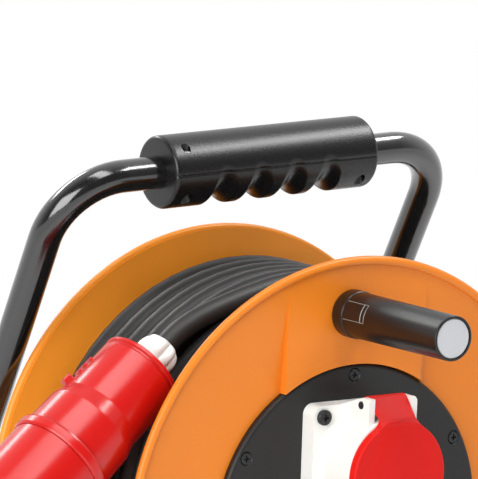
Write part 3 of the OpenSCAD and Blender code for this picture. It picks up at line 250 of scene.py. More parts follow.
def grey_polyamide():
    """Grey polyamide of the contact carriers: dull."""
    return surface("grey_polyamide", linear("#66686A"), 0.5, grain=0.5, bump=0.02)


def knob_plastic():
    """Black moulded plastic of the crank knob: a satin skin."""
    return surface("satin_black_plastic", colours().knob, 0.33, grain=0.5, bump=0.012, mottle=0.06, wear=0.1)


def latch_painted_highlight_plastic():
    """Pale grey along the outlines of the knob's latches: a painted highlight where their edges would catch the light.
    """
    return surface("latch_line_painted_highlight", linear("#8A8A87"), 0.36, grain=0.3, bump=0.01, mottle=0.2)


def grip_plastic():
    """Black moulded plastic of the grip: glossier where hands have polished it."""
    return surface("polished_black_plastic", colours().grip, 0.3, grain=0.6, bump=0.01, mottle=0.08, wear=0.14)


def powder_coat():
    """Gloss black powder coat: a faint orange peel about 2 mm across under a clear skin."""
    return surface(
        "gloss_powder_coat", colours().paint, 0.16, grain=2.2, bump=0.012, mottle=0.05, wear=0.2, coat=0.6, ior=1.7
    )


def seal_rubber():
    """Moulded rubber: dead matt."""
    return surface("moulded_rubber", linear("#222120"), 0.7, grain=0.5, bump=0.03, mottle=0.08, wear=0.1)


def zinc():
    """Zinc-plated steel: bright, with turning marks 0.25 mm apart and cloudy plating."""
    return brushed("zinc_plated_steel", linear("#B9BABC"), 0.3, "Y", 0.25)


def black_oxide():
    """Black-oxide steel of the socket's screws: dark, with a thin oily sheen."""
    return surface("black_oxide_steel", linear("#38393A"), 0.3, metallic=0.8, grain=0.3, bump=0.01, ior=1.5)


def bronze():
    """Sintered bronze: porous and dull."""
    return brushed("sintered_bronze", linear("#A9844A"), 0.42, "Y", 0.4)


def brass():
    """Turned brass: bright."""
    return brushed("turned_brass", linear("#C9A550"), 0.24, "Y", 0.3)


def silver_disc():
    """Silver-printed plastic disc in the knob's end: pale and even."""
    return surface("silver_disc", linear("#C3C5C8"), 0.32, metallic=0.35, grain=0.25, bump=0.006, mottle=0.02)


# ---- Making meshes ----


def placed(name, data):
    """A new object of the data, in the scene."""
    made = bpy.data.objects.new(name, data)
    bpy.context.scene.collection.objects.link(made)
    return made


def shown(mesh, name, material, body, nodes, slot, sharp=35):
    """Puts a finished mesh in the scene as one piece on a body, in place of the solids that it stands for."""
    mesh.materials.clear()
    mesh.materials.append(material)
    mesh.shade_smooth()
    mesh.set_sharp_from_angle(angle=math.radians(sharp))
    piece = placed(name, mesh)
    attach(piece, body)
    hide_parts(*nodes)
    return piece


def outward(mesh, matrix):
    """The mesh welded in millimetres, with its faces turned outwards, and placed by the matrix."""
    work = bmesh.new()
    work.from_mesh(mesh)
    bmesh.ops.remove_doubles(work, verts=work.verts, dist=1e-4)
    bmesh.ops.recalc_face_normals(work, faces=work.faces)
    work.transform(matrix)
    work.to_mesh(mesh)
    work.free()
    return mesh


def mesh_of(name, vertices, faces, matrix):
    """A closed mesh in metres from points in millimetres, with its faces turned outwards."""
    mesh = bpy.data.meshes.new(name)
    mesh.from_pydata([tuple(v) for v in vertices], [], [tuple(f) for f in faces])
    return outward(mesh, matrix)


def join(name, meshes):
    """One mesh of several."""
    work = bmesh.new()
    for mesh in meshes:
        work.from_mesh(mesh)
        bpy.data.meshes.remove(mesh)
    joined = bpy.data.meshes.new(name)
    work.to_mesh(joined)
    work.free()
    return joined


def rounded(corners, steps=5):
    """A closed outline through (x, y, radius) corners, with each corner rounded."""
    outline = []
    count = len(corners)
    for i, (x, y, radius) in enumerate(corners):
        here = Vector((x, y))
        before = Vector(corners[i - 1][:2]) - here
        after = Vector(corners[(i + 1) % count][:2]) - here
        if radius <= 0 or before.length < 1e-9 or after.length < 1e-9:
            outline.append(here)
            continue
        half = before.angle(after, math.pi) / 2
        reach = min(radius / max(math.tan(half), 1e-3), before.length * 0.49, after.length * 0.49)
        start, end = here + before.normalized() * reach, here + after.normalized() * reach
        for k in range(steps + 1):
            t = k / steps
            outline.append(start * (1 - t) ** 2 + here * 2 * t * (1 - t) + end * t * t)
    return outline


def polar(radius, angle, y):
    """The point at a radius and an angle round the Y axis."""
    return radius * math.cos(angle), y, radius * math.sin(angle)


def lathe(name, outline, matrix, segments):
    """A ring or disc: the closed outline of (radius, y) points turned round the Y axis."""
    count = len(outline)
    vertices, faces = [], []
    for s in range(segments):
        vertices += [polar(p[0], 2 * math.pi * s / segments, p[1]) for p in outline]
    for s in range(segments):
        a, b = s * count, (s + 1) % segments * count
        for k in range(count):
            n = (k + 1) % count
            if outline[k][0] > 1e-6 or outline[n][0] > 1e-6:
                faces.append((a + k, a + n, b + n, b + k))
    return mesh_of(name, vertices, faces, matrix)


def skin(name, rows, matrix, cap=True):
    """A surface over rows of points. Each row is a closed ring, and with cap the first and last are filled."""
    count = len(rows[0])
    vertices = [p for row in rows for p in row]
    faces = []
    for i in range(len(rows) - 1):
        for k in range(count):
            n = (k + 1) % count
            faces.append((i * count + k, i * count + n, (i + 1) * count + n, (i + 1) * count + k))
    if cap:
        faces.append(tuple(range(count)))
        faces.append(tuple((len(rows) - 1) * count + k for k in range(count)))
    return mesh_of(name, vertices, faces, matrix)


def prism(name, outline, y0, y1, matrix):
    """A plate: an outline of (x, z) points from y0 to y1."""
    return skin(name, [[(p[0], y, p[1]) for p in outline] for y in (y0, y1)], matrix)


def block(name, low, high, matrix, edge):
    """A box between two corners in millimetres, with rounded edges."""
    (x0, y0, z0), (x1, y1, z1) = low, high
    outline = rounded([(x0, z0, edge), (x1, z0, edge), (x1, z1, edge), (x0, z1, edge)], 4)
    mesh = softened(prism(name, outline, y0, y1, Matrix.Identity(4)), edge * 0.8, 3)
    mesh.transform(matrix)
    return mesh


def united(name, meshes, kind="UNION", crossing=False):
    """One closed mesh of overlapping ones, or with another kind the first one cut by the others. crossing says that
    those cross each other."""
    base, tool = meshes[0], join("tool", meshes[1:])
    cutter = placed("tool", tool)

    def build(holder):
        boolean = holder.modifiers.new("join", "BOOLEAN")
        boolean.operation = kind
        boolean.solver = "EXACT"
        boolean.use_self = crossing or kind == "UNION"
        boolean.object = cutter

    made = evaluated(base, build)
    bpy.data.objects.remove(cutter)
    made.name = name
    return made


def evaluated(mesh, build):
    """The mesh after the modifiers that build puts on an object of it."""
    holder = placed("holder", mesh)
    build(holder)
    graph = bpy.context.evaluated_depsgraph_get()
    graph.update()
    made = bpy.data.meshes.new_from_object(holder.evaluated_get(graph))
    bpy.data.objects.remove(holder)
    return made


def softened(mesh, width, segments=2, angle=32):
    """The mesh with its sharp edges rounded by width, in metres."""

    def build(holder):
        bevel = holder.modifiers.new("edges", "BEVEL")
        bevel.width = width
        bevel.segments = segments
        bevel.limit_method = "ANGLE"
        bevel.angle_limit = math.radians(angle)
        bevel.use_clamp_overlap = True
        bevel.miter_outer = "MITER_ARC"
        normals = holder.modifiers.new("normals", "WEIGHTED_NORMAL")
        normals.keep_sharp = True

    mesh.shade_smooth()
    return evaluated(mesh, build)


def cleaned(mesh):
    """The mesh welded, with its flat faces whole."""
    work = bmesh.new()
    work.from_mesh(mesh)
    bmesh.ops.remove_doubles(work, verts=work.verts, dist=2e-6)
    bmesh.ops.dissolve_limit(
        work, angle_limit=math.radians(0.6), use_dissolve_boundaries=False, verts=work.verts, edges=work.edges
    )
    work.to_mesh(mesh)
    work.free()
    return mesh


def merged(node):
    """A welded copy of a solid's mesh."""
    mesh = frame["nodes"][node].data.copy()
    mesh.name = node + "_shape"
    return cleaned(mesh)


def body_of(node):
    """The body that a node rides on."""
    return next(name for name, members in frame["record"]["behaviour"]["bodies"].items() if node in members)


def slot_of(node):
    """The material slot of a node."""
    return next(row["material_slot"] for row in frame["record"]["subparts"] if row["node"] == node)


def broken(node, width, material, segments=2):
    """A solid shown with its edges rounded."""
    mesh = softened(merged(node), width, segments)
    return shown(mesh, node + "_finished", material, body_of(node), [node], slot_of(node))


def finish_node(node, material):
    """A solid shown as it is, with its finish."""
    data = frame["nodes"][node].data
    data.materials.clear()
    data.materials.append(material)


# ---- Geometry Nodes ----


def modifier_tree(name, sockets, build):
    """The node tree of a name. On its first use build gets the tree and its inputs and returns a geometry, which is
    then made real and gets its finish."""
    found = bpy.data.node_groups.get(name)
    if found:
        return found
    tree = bpy.data.node_groups.new(name, "GeometryNodeTree")
    for label, kind in (("Geometry", "Geometry"), *sockets, ("Finish", "Material")):
        tree.interface.new_socket(label, in_out="INPUT", socket_type="NodeSocket" + kind)
    tree.interface.new_socket("Geometry", in_out="OUTPUT", socket_type="NodeSocketGeometry")
    inputs = add(tree, "NodeGroupInput").outputs
    whole = add(tree, "GeometryNodeRealizeInstances", links={"Geometry": build(tree, inputs)})
    links = {"Geometry": whole.outputs["Geometry"], "Material": inputs["Finish"]}
    coated = add(tree, "GeometryNodeSetMaterial", links=links)
    add(tree, "NodeGroupOutput", links={"Geometry": coated.outputs["Geometry"]})
    return tree


def tube_tree():
    """Node tree that gives a line a round section."""

    def build(tree, inputs):
        line = add(tree, "GeometryNodeMeshToCurve", links={"Mesh": inputs["Geometry"]})
        circle = {"Resolution": inputs["Sides"], "Radius": inputs["Radius"]}
        section = add(tree, "GeometryNodeCurvePrimitiveCircle", links=circle)
        swept = {"Curve": line.outputs["Curve"], "Profile Curve": section.outputs["Curve"]}
        return add(tree, "GeometryNodeCurveToMesh", {"Fill Caps": True}, swept).outputs["Mesh"]

    return modifier_tree("round_tube", (("Radius", "Float"), ("Sides", "Int")), build)


def ring_tree():
    """Node tree that repeats a small piece evenly round the Y axis."""

    def build(tree, inputs):
        size = {"Vertices": inputs["Count"], "Radius": inputs["Radius"]}
        circle = add(tree, "GeometryNodeMeshCircle", links=size).outputs["Mesh"]
        turn = add(tree, "ShaderNodeCombineXYZ", {"X": math.pi / 2}, {"Y": inputs["Turn"]}).outputs["Vector"]
        place = {"Geometry": circle, "Rotation": turn, "Translation": inputs["Centre"]}
        upright = add(tree, "GeometryNodeTransform", links=place).outputs["Geometry"]
        copies = {"Points": upright, "Instance": inputs["Geometry"]}
        return add(tree, "GeometryNodeInstanceOnPoints", links=copies).outputs["Instances"]

    sockets = (("Count", "Int"), ("Radius", "Float"), ("Turn", "Float"), ("Centre", "Vector"))
    return modifier_tree("ring_of_pieces", sockets, build)


def through(mesh, tree, **values):
    """The mesh after a node tree, with the tree's named inputs set."""

    def build(holder):
        modifier = holder.modifiers.new("nodes", "NODES")
        modifier.node_group = tree
        for item in tree.interface.items_tree:
            if item.in_out == "INPUT" and item.name in values:
                modifier[item.identifier] = values[item.name]

    return evaluated(mesh, build)


def along(name, points, radius, sides, material):
    """A round tube along points in metres."""
    line = bpy.data.meshes.new(name)
    line.from_pydata([tuple(p) for p in points], [(i, i + 1) for i in range(len(points) - 1)], [])
    return through(line, tube_tree(), Radius=radius, Sides=sides, Finish=material)


# ---- Cable ----


def ease(t):
    """A smooth step from 0 to 1 over t from 0 to 1."""
    u = min(max(t, 0.0), 1.0)
    return u * u * (3 - 2 * u)


def smooth_route(points, step=2.0):
    """Points about step mm apart on a smooth curve through the given ones."""
    p = np.array(points, float)
    ends = np.vstack([2 * p[0] - p[1], p, 2 * p[-1] - p[-2]])
    route = []
    for i in range(1, len(ends) - 2):
        a, b, c, d = ends[i - 1 : i + 3]
        count = max(2, int(round(np.linalg.norm(c - b) / step)))
        for k in range(count):
            t = k / count
            route.append(
                0.5 * (2 * b + (c - a) * t + (2 * a - 5 * b + 4 * c - d) * t * t + (3 * b - a - 3 * c + d) * t**3)
            )
    route.append(p[-1])
    return route


# The winding in millimetres and degrees: its layers and places along the drum, and where each turn steps over
BARREL_TURN, TAIL_DROP, TAIL_POINTS = 66.0, 12.0, 12
LAYER_RADII = (74.1, 86.5, 98.9, 111.2)
FRONT_TURN = 30.8
LANE_TURNS, LAYER_TURNS = 3, 7
OUTER_RADIUS = 124.0
OUTER_TURNS = (62.3, 74.9, 87.5, 100.1, 112.7)
REAR_LANE = ((111.2, 124.4), (98.9, 122.2), (86.5, 122.2), (74.1, 122.2))
STEP_START = 235
STEP_ARC = 70


def winding_route(pitch, points_a_turn):
    """The whole winding as one line: four layers under the plug's lane at the front, four behind them, the outer
    layer, and the turns in the lane at the rear, with every step on the underside."""
    places = [FRONT_TURN + k * pitch for k in range(LAYER_TURNS)]
    turns = []
    for block, turned in ((places[:LANE_TURNS], 0), (places[LANE_TURNS:], 1)):
        for layer, radius in enumerate(LAYER_RADII):
            turns += [(radius, y) for y in (block[::-1] if layer % 2 == turned else block)]
    before = (BARREL_TURN, turns[0][1])
    turns += [(OUTER_RADIUS, y) for y in OUTER_TURNS]
    turns += list(REAR_LANE)
    route = []
    for radius, y in turns:
        climbs = radius > before[0]
        for k in range(points_a_turn):
            u = 360 * k / points_a_turn
            r = before[0] + (radius - before[0]) * ease((u if climbs else u - STEP_ARC) / STEP_ARC)
            route.append(polar(r, math.radians(STEP_START + u), before[1] + (y - before[1]) * ease(u / STEP_ARC)))
        before = (radius, y)
    for k in range(TAIL_POINTS):
        r = before[0] - TAIL_DROP * ease(k / (TAIL_POINTS - 1))
        route.append(polar(r, math.radians(STEP_START + 3 * k), before[1]))
    return route


LEAD_POINTS = (
    (-86, 42.5, 107), (-76, 43.5, 111.5), (-65, 44.5, 115), (-50, 46, 118.5), (-33, 48, 121.5), (-14, 49.5, 124),
    (11, 48.5, 124.5), (36.5, 45, 119.5), (60.5, 39.5, 110), (83.5, 33, 96.5), (104, 26, 80), (120, 21, 61.5),
    (129.5, 18.5, 42), (131, 18.5, 20.5), (123.5, 18.5, 0.5), (107.5, 18.5, -14.5), (87, 18.5, -20.5),
    (75, 18.5, -20), (66, 18.5, -17.5),
)


class REEL_OT_lead(bpy.types.Operator):
    """The free end of the cable, from the plug's gland over the winding and down to the barrel"""

    bl_idname = "reel.lead"
    bl_label = "Lead"

    def execute(self, context):
        axis = PLUG.to_3x3() @ Vector((0, 0, 1))
        start = [REEL.inverted() @ (PLUG.translation + axis * s) for s in (4, -7.5, -17)]
        route = [REEL @ Vector(p) for p in smooth_route([*start, *LEAD_POINTS])]
        mesh = along("cable_lead_sheath", route, sizes().cable / 2, 24, sheath_rubber())
        piece = shown(mesh, "cable_lead_sheath", sheath_rubber(), "frame", ["cable_lead"], "cable_rubber", 60)
        [tuple(p) for p in reversed(route)]
        return {"FINISHED"}


class REEL_OT_winding(bpy.types.Operator):
    """The cable on the drum, wound in one length"""

    bl_idname = "reel.winding"
    bl_label = "Winding"

    def execute(self, context):
        route = winding_route(sizes().pitch / MM, sizes().turn_points)
        mesh = along(
            "cable_turns", [DRUM @ Vector(p) for p in route], sizes().cable / 2, sizes().cable_sides, sheath_rubber()
        )
        shown(mesh, "cable_turns", sheath_rubber(), "drum", ["cable_winding", "cable_core"], "cable_rubber", 60)
        return {"FINISHED"}


# ---- Plug ----


UPRIGHT = Matrix.Rotation(math.radians(90), 4, "X")
LUG_TURN = 34


class REEL_OT_plug(bpy.types.Operator):
    """The five-pin plug on the lead's end"""

    bl_idname = "reel.plug"
    bl_label = "Plug"

    def execute(self, context):
        along_plug = PLUG @ UPRIGHT
        body = lathe(
            "plug_body_shell",
            rounded([(9.7, 0, 0.2), (22.2, 0, 0.8), (23.7, 0.9, 0.6), (23.7, 2.6, 0.6), (22.7, 3.2, 0.3),
                     (22.7, 4.4, 0.3), (23.5, 5.2, 0.4), (23.5, 37, 5), (26.1, 46, 5), (26.5, 66.6, 0.6),
                     (26.5, 71, 0.4), (23.3, 71, 0.3), (23.3, 83, 0.3), (19, 83, 0.2), (19, 6, 0.5), (9.7, 6, 0.2)]),
            along_plug, 144,
        )
        # The lock lug and three short grip ribs stand on the side that faces up
        side = PLUG @ Matrix.Rotation(math.radians(LUG_TURN), 4, "Z")
        lug = block("lug", (-27.2, -3, 32), (-21, 3, 37.5), side, 1.2)
        ribs = [block("rib", (-24.7, -4, 17 + 4.6 * k), (-21, 4, 18.8 + 4.6 * k), side, 0.6) for k in range(3)]
        shown(join("plug_body_shell", [body, lug, *ribs]), "plug_body_shell", plug_polyamide_painted_shade(), "frame",
              ["plug_body"], "red_plastic")
        ring = lathe(
            "plug_ring_band",
            rounded([(26.6, 67, 0.2), (28.3, 67, 0.9), (28.9, 68.6, 0.6), (28.9, 72.2, 0.7), (28.2, 73.5, 0.5),
                     (26.6, 73.5, 0.2)]),
            along_plug, 144,
        )
        shown(ring, "plug_ring_band", plug_polyamide_painted_shade(), "frame", ["plug_ring"], "red_plastic")
        broken("plug_shroud", 0.0008, plug_polyamide_painted_shade(), 3)
        lobes, rows = 8, []
        for z, base, lift in (
            (-18.4, 6.2, 0), (-18.4, 7.2, 0), (-18.2, 7.9, 0.3), (-17.4, 8.3, 1.2), (-16, 8.5, 2.0), (-14, 8.6, 2.6),
            (-11.5, 8.8, 2.8), (-9, 9.1, 2.4), (-7, 9.5, 1.6), (-5.4, 9.9, 0.9), (-3, 10.6, 0.4), (-0.8, 11, 0.1),
            (-0.1, 10.6, 0), (-0.1, 9.2, 0), (6, 9.2, 0), (6, 6.2, 0),
        ):
            row = []
            for k in range(192):
                a = 2 * math.pi * k / 192
                r = base + lift * abs(math.cos(lobes * a / 2)) ** 0.8
                row.append((r * math.cos(a), r * math.sin(a), z))
            rows.append(row)
        rows.append(rows[0])
        nut = skin("plug_gland_lobes", rows, PLUG, cap=False)
        shown(nut, "plug_gland_lobes", white_polyamide(), "frame", ["plug_gland_nut"], "white_plastic", 50)
        broken("plug_insert", 0.0004, grey_polyamide())
        broken("plug_pins", 0.0008, brass(), 3)
        return {"FINISHED"}


# ---- Drum and socket plate ----


def screw(head_r, depth, rise):
    """A screw head facing -Y with a rounded rim and a cross recess."""
    outline = [(0, -rise, 0), (head_r - 0.5, -rise, 0.5), (head_r, -rise + 0.5, 0.3), (head_r, 0, 0)]
    outline += [(head_r * 0.5, depth, 0.2), (0, depth, 0)]
    head = lathe("screw", rounded(outline), Matrix.Identity(4), 40)
    wide, narrow, thick = head_r * 0.55, head_r * 0.42, head_r * 0.13
    bar = [(-wide, -thick), (wide, -thick), (narrow, thick), (-narrow, thick)]
    span = (-rise - 0.5, -rise + head_r * 0.35)
    cross = [prism("bar", bar, *span, Matrix.Rotation(math.radians(turn), 4, "Y")) for turn in (0, 90)]
    return united("screw", [head, *cross], "DIFFERENCE", crossing=True)


def ring_of(mesh, count, radius, turn, centre):
    """Black copies of a small mesh round a line along the drum's axis, all in millimetres, placed on the drum."""
    place = {"Count": count, "Radius": radius, "Turn": math.radians(turn), "Centre": centre}
    made = through(mesh, ring_tree(), **place, Finish=black_oxide())
    made.transform(DRUM)
    return made


class REEL_OT_drum(bpy.types.Operator):
    """The two flanges, the barrel and the hub's bushes"""

    bl_idname = "reel.drum"
    bl_label = "Drum"

    def execute(self, context):
        edge = sizes().moulded_edge
        for node in ("front_flange", "drum_barrel"):
            broken(node, edge, polypropylene())
        # The rear flange takes a lighter, warmer copy of the drum's colour: painted light.
        broken("rear_flange", edge, painted_light_rear_polypropylene())
        for node in ("hub_bush_front", "hub_bush_rear"):
            broken(node, 0.0003, bronze())
        for node in ("barrel_screws", "crank_nut", "crank_pin"):
            broken(node, 0.0002, zinc())
        return {"FINISHED"}


class REEL_OT_sockets(bpy.types.Operator):
    """The socket plate with its screws, the three-phase socket and the two household sockets"""

    bl_idname = "reel.sockets"
    bl_label = "Sockets"

    def lid(self):
        """The three-phase lid, with a rounded front edge and the corners between its disc and its tab filled."""
        fillets = []
        for side in (-1, 1):
            bend = [
                (side * (17.7 + 6 * math.cos(a)), 63.35 + 6 * math.sin(a))
                for a in np.radians(np.linspace(180, 239.5, 12))
            ]
            outline = [(side * 9.5, 54), (side * 9.5, 63.35), *bend, (side * 13.0, 55.5)]
            profile = [(-39.4, 50), (-39.4, 58.5), (-34.3, 64.488), (-34.3, 50)]
            slope = skin("slope", [[(x, y, z) for y, z in profile] for x in (-20, 20)], DRUM)
            fillets.append(united("fillet", [slope, prism("fillet", outline, -45, -30, DRUM)], "INTERSECT"))
        whole = united("power_lid_shape", [merged("power_lid"), *fillets])
        # What stands outside the rounded front edge, from one fillet round the disc to the other
        round_off = [(30 - 1.3 + 1.3 * math.sin(t), -38.1 - 1.3 * math.cos(t)) for t in np.linspace(0, math.pi / 2, 8)]
        corner = [(31, -38.1), (31, -41), (28.7, -41), *round_off]
        rows = [
            [(r * math.cos(a), y, 32 + r * math.sin(a)) for r, y in corner]
            for a in np.radians(np.linspace(118.5, 421.5, 140))
        ]
        mesh = cleaned(united("power_lid_shape", [whole, skin("corner", rows, DRUM)], "DIFFERENCE"))
        mesh = softened(mesh, 0.0005, 2, 40)
        shown(mesh, "power_lid_finished", lid_polyamide(), "three_phase_lid", ["power_lid"], "red_plastic", 20)

    def execute(self, context):
        edge = sizes().moulded_edge
        broken("socket_plate", 0.0008, nylon(), 3)
        small = ring_of(screw(3.5, 2.0, 0.02), 6, 80, 30, (0, 4.3, 0))
        shown(small, "plate_screw_heads", black_oxide(), "drum", ["plate_screws"], "zinc_steel", 40)
        large = ring_of(screw(4.25, 0.1, 2.3), 4, 54.6 / math.sqrt(2), 45, (0, -6, 33.5))
        shown(large, "socket_screw_heads", black_oxide(), "drum", ["power_screws"], "plate_plastic", 40)
        broken("power_housing", 0.0009, white_polyamide(), 3)
        self.lid()
        broken("power_insert", edge, grey_polyamide())
        for node in ("twin_housing_left", "twin_lid_left", "twin_housing_right", "twin_lid_right", "cutout_body"):
            broken(node, edge, nylon())
        broken("cutout_nut", 0.0003, zinc())
        broken("reset_button", 0.0006, lid_polyamide(), 3)
        broken("power_hinge_pin", 0.0003, black_oxide())
        broken("twin_hinge_pins", 0.0003, zinc())
        for node in ("power_contacts", "twin_contacts"):
            finish_node(node, brass())
        finish_node("lid_springs", zinc())
        for node in ("plate_gasket", "power_lid_seal"):
            finish_node(node, seal_rubber())
        broken("terminal_block", edge, white_polyamide())
        for node in ("supply_tail", "socket_wires"):
            finish_node(node, sheath_rubber())
        return {"FINISHED"}


# ---- Crank ----


LATCH_ANGLES, LATCH_HALF, LATCH_REACH, LATCH_LIP = (2.79, 2.79 + math.pi), 5.3, 24.5, 3.0


def latch_line(angle, y):
    """How near a place on the knob is to the outline of one of its two latch tongues: 1 on it, 0 away from it."""
    nearest = 9.0
    for centre in LATCH_ANGLES:
        aside = abs((angle - centre + math.pi) % (2 * math.pi) - math.pi) * 12.5 - LATCH_HALF
        nearest = min(nearest, abs(max(aside, -LATCH_REACH - y)))
        if aside < 0:
            nearest = min(nearest, abs(y + LATCH_REACH - LATCH_LIP))
    return math.exp(-((nearest / 0.28) ** 2))


class REEL_OT_crank(bpy.types.Operator):
    """The free-turning crank knob and the disc in its end"""

    bl_idname = "reel.crank"
    bl_label = "Crank knob"

    def execute(self, context):
        tip, seat, shoulder = -87.0, 2.7, -6.7
        outer = rounded([(10.7, tip + 2.2, 0), (10.7, tip, 0.3), (12, tip, 0.7), (12.5, shoulder, 0.2),
                         (12.5, -6.1, 0.1), (13, -5.7, 0.3), (13, seat, 0.8), (5.2, seat, 0.2), (5.2, tip + 8.6, 0.1),
                         (7.9, tip + 8.6, 0.1), (7.9, tip + 2.2, 0)], 4)
        close = [(centre + np.linspace(-0.55, 0.55, 110)) % (2 * math.pi) for centre in LATCH_ANGLES]
        angles = np.unique(np.concatenate([np.linspace(0, 2 * math.pi, 97)[:-1], *close]))
        stations = np.concatenate([np.linspace(tip + 1.5, -30, 16), np.linspace(-29.5, -6.9, 110)])
        rows = [[polar(r, a, y) for a in angles] for r, y in outer if y < tip + 1.4]
        for y in stations:
            base = 12 + 0.5 * (y - tip) / (shoulder - tip)
            rows.append([polar(base - 0.4 * latch_line(a, y), a, y) for a in angles])
        rows += [[polar(r, a, y) for a in angles] for r, y in outer if y > shoulder - 0.15 and r > 5.1]
        rows += [[polar(r, a, tip + y) for a in angles] for r, y in ((5.2, 8.6), (7.9, 8.6), (7.9, 2.2), (10.7, 2.2))]
        rows.append(rows[0])
        sleeve = skin("knob_sleeve_skin", rows, CRANK, cap=False)
        shown(sleeve, "knob_sleeve_skin", knob_plastic(), "crank_knob", ["knob_sleeve"], "knob_plastic", 40)
        # The faces along the latch outlines take a pale grey: a painted highlight.
        sleeve.materials.append(latch_painted_highlight_plastic())
        back = CRANK.inverted()
        for face in sleeve.polygons:
            place = back @ face.center
            if -29 < place.y < shoulder and latch_line(math.atan2(place.z, place.x), place.y) > 0.45:
                face.material_index = 1
        disc = lathe(
            "knob_end_disc",
            rounded([(0, tip + 0.4, 0), (10.1, tip + 0.4, 0.2), (10.5, tip + 0.8, 0.2), (10.5, tip + 2, 0.1),
                     (0, tip + 2, 0)]),
            CRANK, 96,
        )
        shown(disc, "knob_end_disc", silver_disc(), "crank_knob", ["knob_cap"], "cap_silver")
        return {"FINISHED"}


# ---- Frame ----


def arc(centre, start, end, steps=14):
    """Points on the arc round centre from start to end, without its first point."""
    c, a, b = Vector(centre), Vector(start) - Vector(centre), Vector(end) - Vector(centre)
    angle = a.angle(b)
    return [
        c + (a * math.sin((1 - t) * angle) + b * math.sin(t * angle)) / math.sin(angle)
        for t in [k / steps for k in range(1, steps + 1)]
    ]


LEG_X, LEG_Y, BAR_Y, BAR_Z = 127.8, 177.6, 88.0, 186.3
HANDLE_BEND, KNEE_BEND, BASE_BEND, LEAN = 38.0, 60.0, 50.0, math.radians(30)
SKID_Z, FRONT_Y, JOINT_Z = -153.0, -30.0, -60.0


def handle_route():
    """Half of the handle's middle line, from the middle of the bar to the right leg's lower end."""
    down = Vector((0, math.sin(LEAN), -math.cos(LEAN)))
    bar = Vector((0, BAR_Y, BAR_Z))
    corner = bar + Vector((LEG_X - HANDLE_BEND, 0, 0))
    foot = bar + Vector((LEG_X, 0, 0)) + down * HANDLE_BEND
    drop = (LEG_Y - foot.y) / math.sin(LEAN)
    tangent = KNEE_BEND * math.tan(LEAN / 2)
    knee_top = foot + down * (drop - tangent)
    knee_low = Vector((LEG_X, LEG_Y, foot.z - drop * math.cos(LEAN) - tangent))
    points = [bar, corner, *arc(corner + down * HANDLE_BEND, corner, foot), knee_top]
    points += arc(knee_low - Vector((0, KNEE_BEND, 0)), knee_top, knee_low, 8)
    return points + [Vector((LEG_X, LEG_Y, JOINT_Z))]


def base_route():
    """Half of the base's middle line, from the middle of the front bar to the right leg's upper end."""
    x, y, z = LEG_X, LEG_Y, SKID_Z
    front = Vector((x - BASE_BEND, FRONT_Y, z))
    side = Vector((x, FRONT_Y + BASE_BEND, z))
    rear = Vector((x, y - BASE_BEND, z))
    up = Vector((x, y, z + BASE_BEND))
    return [
        Vector((0, FRONT_Y, z)), front, *arc((x - BASE_BEND, FRONT_Y + BASE_BEND, z), front, side), rear,
        *arc((x, y - BASE_BEND, z + BASE_BEND), rear, up), Vector((x, y, JOINT_Z - 0.1)),
    ]


def both_ways(half):
    """A line that runs on to its mirror image over the middle."""
    return [Vector((-p.x, p.y, p.z)) for p in reversed(half[1:])] + half


class REEL_OT_frame(bpy.types.Operator):
    """The bent tube handle and base, the axle and what fastens them"""

    bl_idname = "reel.frame"
    bl_label = "Frame"

    def execute(self, context):
        tubes = (("handle_tube", "handle_frame", handle_route()), ("base_tube", "base_frame", base_route()))
        for name, node, half in tubes:
            mesh = along(name, [REEL @ p for p in both_ways(half)], sizes().tube / 2, 40, powder_coat())
            shown(mesh, name, powder_coat(), "frame", [node], "tube_paint", 50)
        broken("axle_bracket", 0.0006, powder_coat())
        broken("rubber_feet", 0.0012, seal_rubber(), 3)
        metal = sizes().metal_edge
        for node in ("joint_screws", "bracket_bolts", "bracket_nuts", "axle", "axle_spacer", "axle_washer",
                     "axle_nuts"):
            broken(node, metal, zinc())
        return {"FINISHED"}


# ---- Grip ----


GRIP_HALF, GRIP_R, BORE_R, GRIP_EDGE = 67.5, 20.0, 9.1, 2.2
GROOVE_CENTRES = (-34.5, -11.5, 11.5, 34.5)
GROOVE_R, GROOVE_CIRCLE, GROOVE_RISE = 9.725, 30.225, 5.5
GRIP_SCREWS = [Matrix.Translation((x, y, 0)) for x in (-58, 58) for y in (-14, 14)]


def soft_min(a, b, k):
    """The smaller of a and b, with the corner between them rounded over k."""
    h = max(k - abs(a - b), 0.0) / k
    return min(a, b) - h * h * k / 4


def grip_radius(x, angle, blend):
    """Radius of the grip at x along it, at an angle counted from straight up."""
    end = GRIP_HALF - abs(x)
    r = GRIP_R
    if end < GRIP_EDGE:
        r -= GRIP_EDGE - math.sqrt(max(GRIP_EDGE**2 - (GRIP_EDGE - end) ** 2, 0))
    for centre in GROOVE_CENTRES:
        reach = GROOVE_R**2 - (x - centre) ** 2
        if reach <= 0:
            continue
        inner = GROOVE_CIRCLE - math.sqrt(reach)
        # The groove's wall is where the distance to a line GROOVE_RISE above the middle is inner
        s = GROOVE_RISE * math.cos(angle)
        wall = s + math.sqrt(max(inner**2 - (GROOVE_RISE * math.sin(angle)) ** 2, 0))
        r = soft_min(r, wall, blend)
    return r


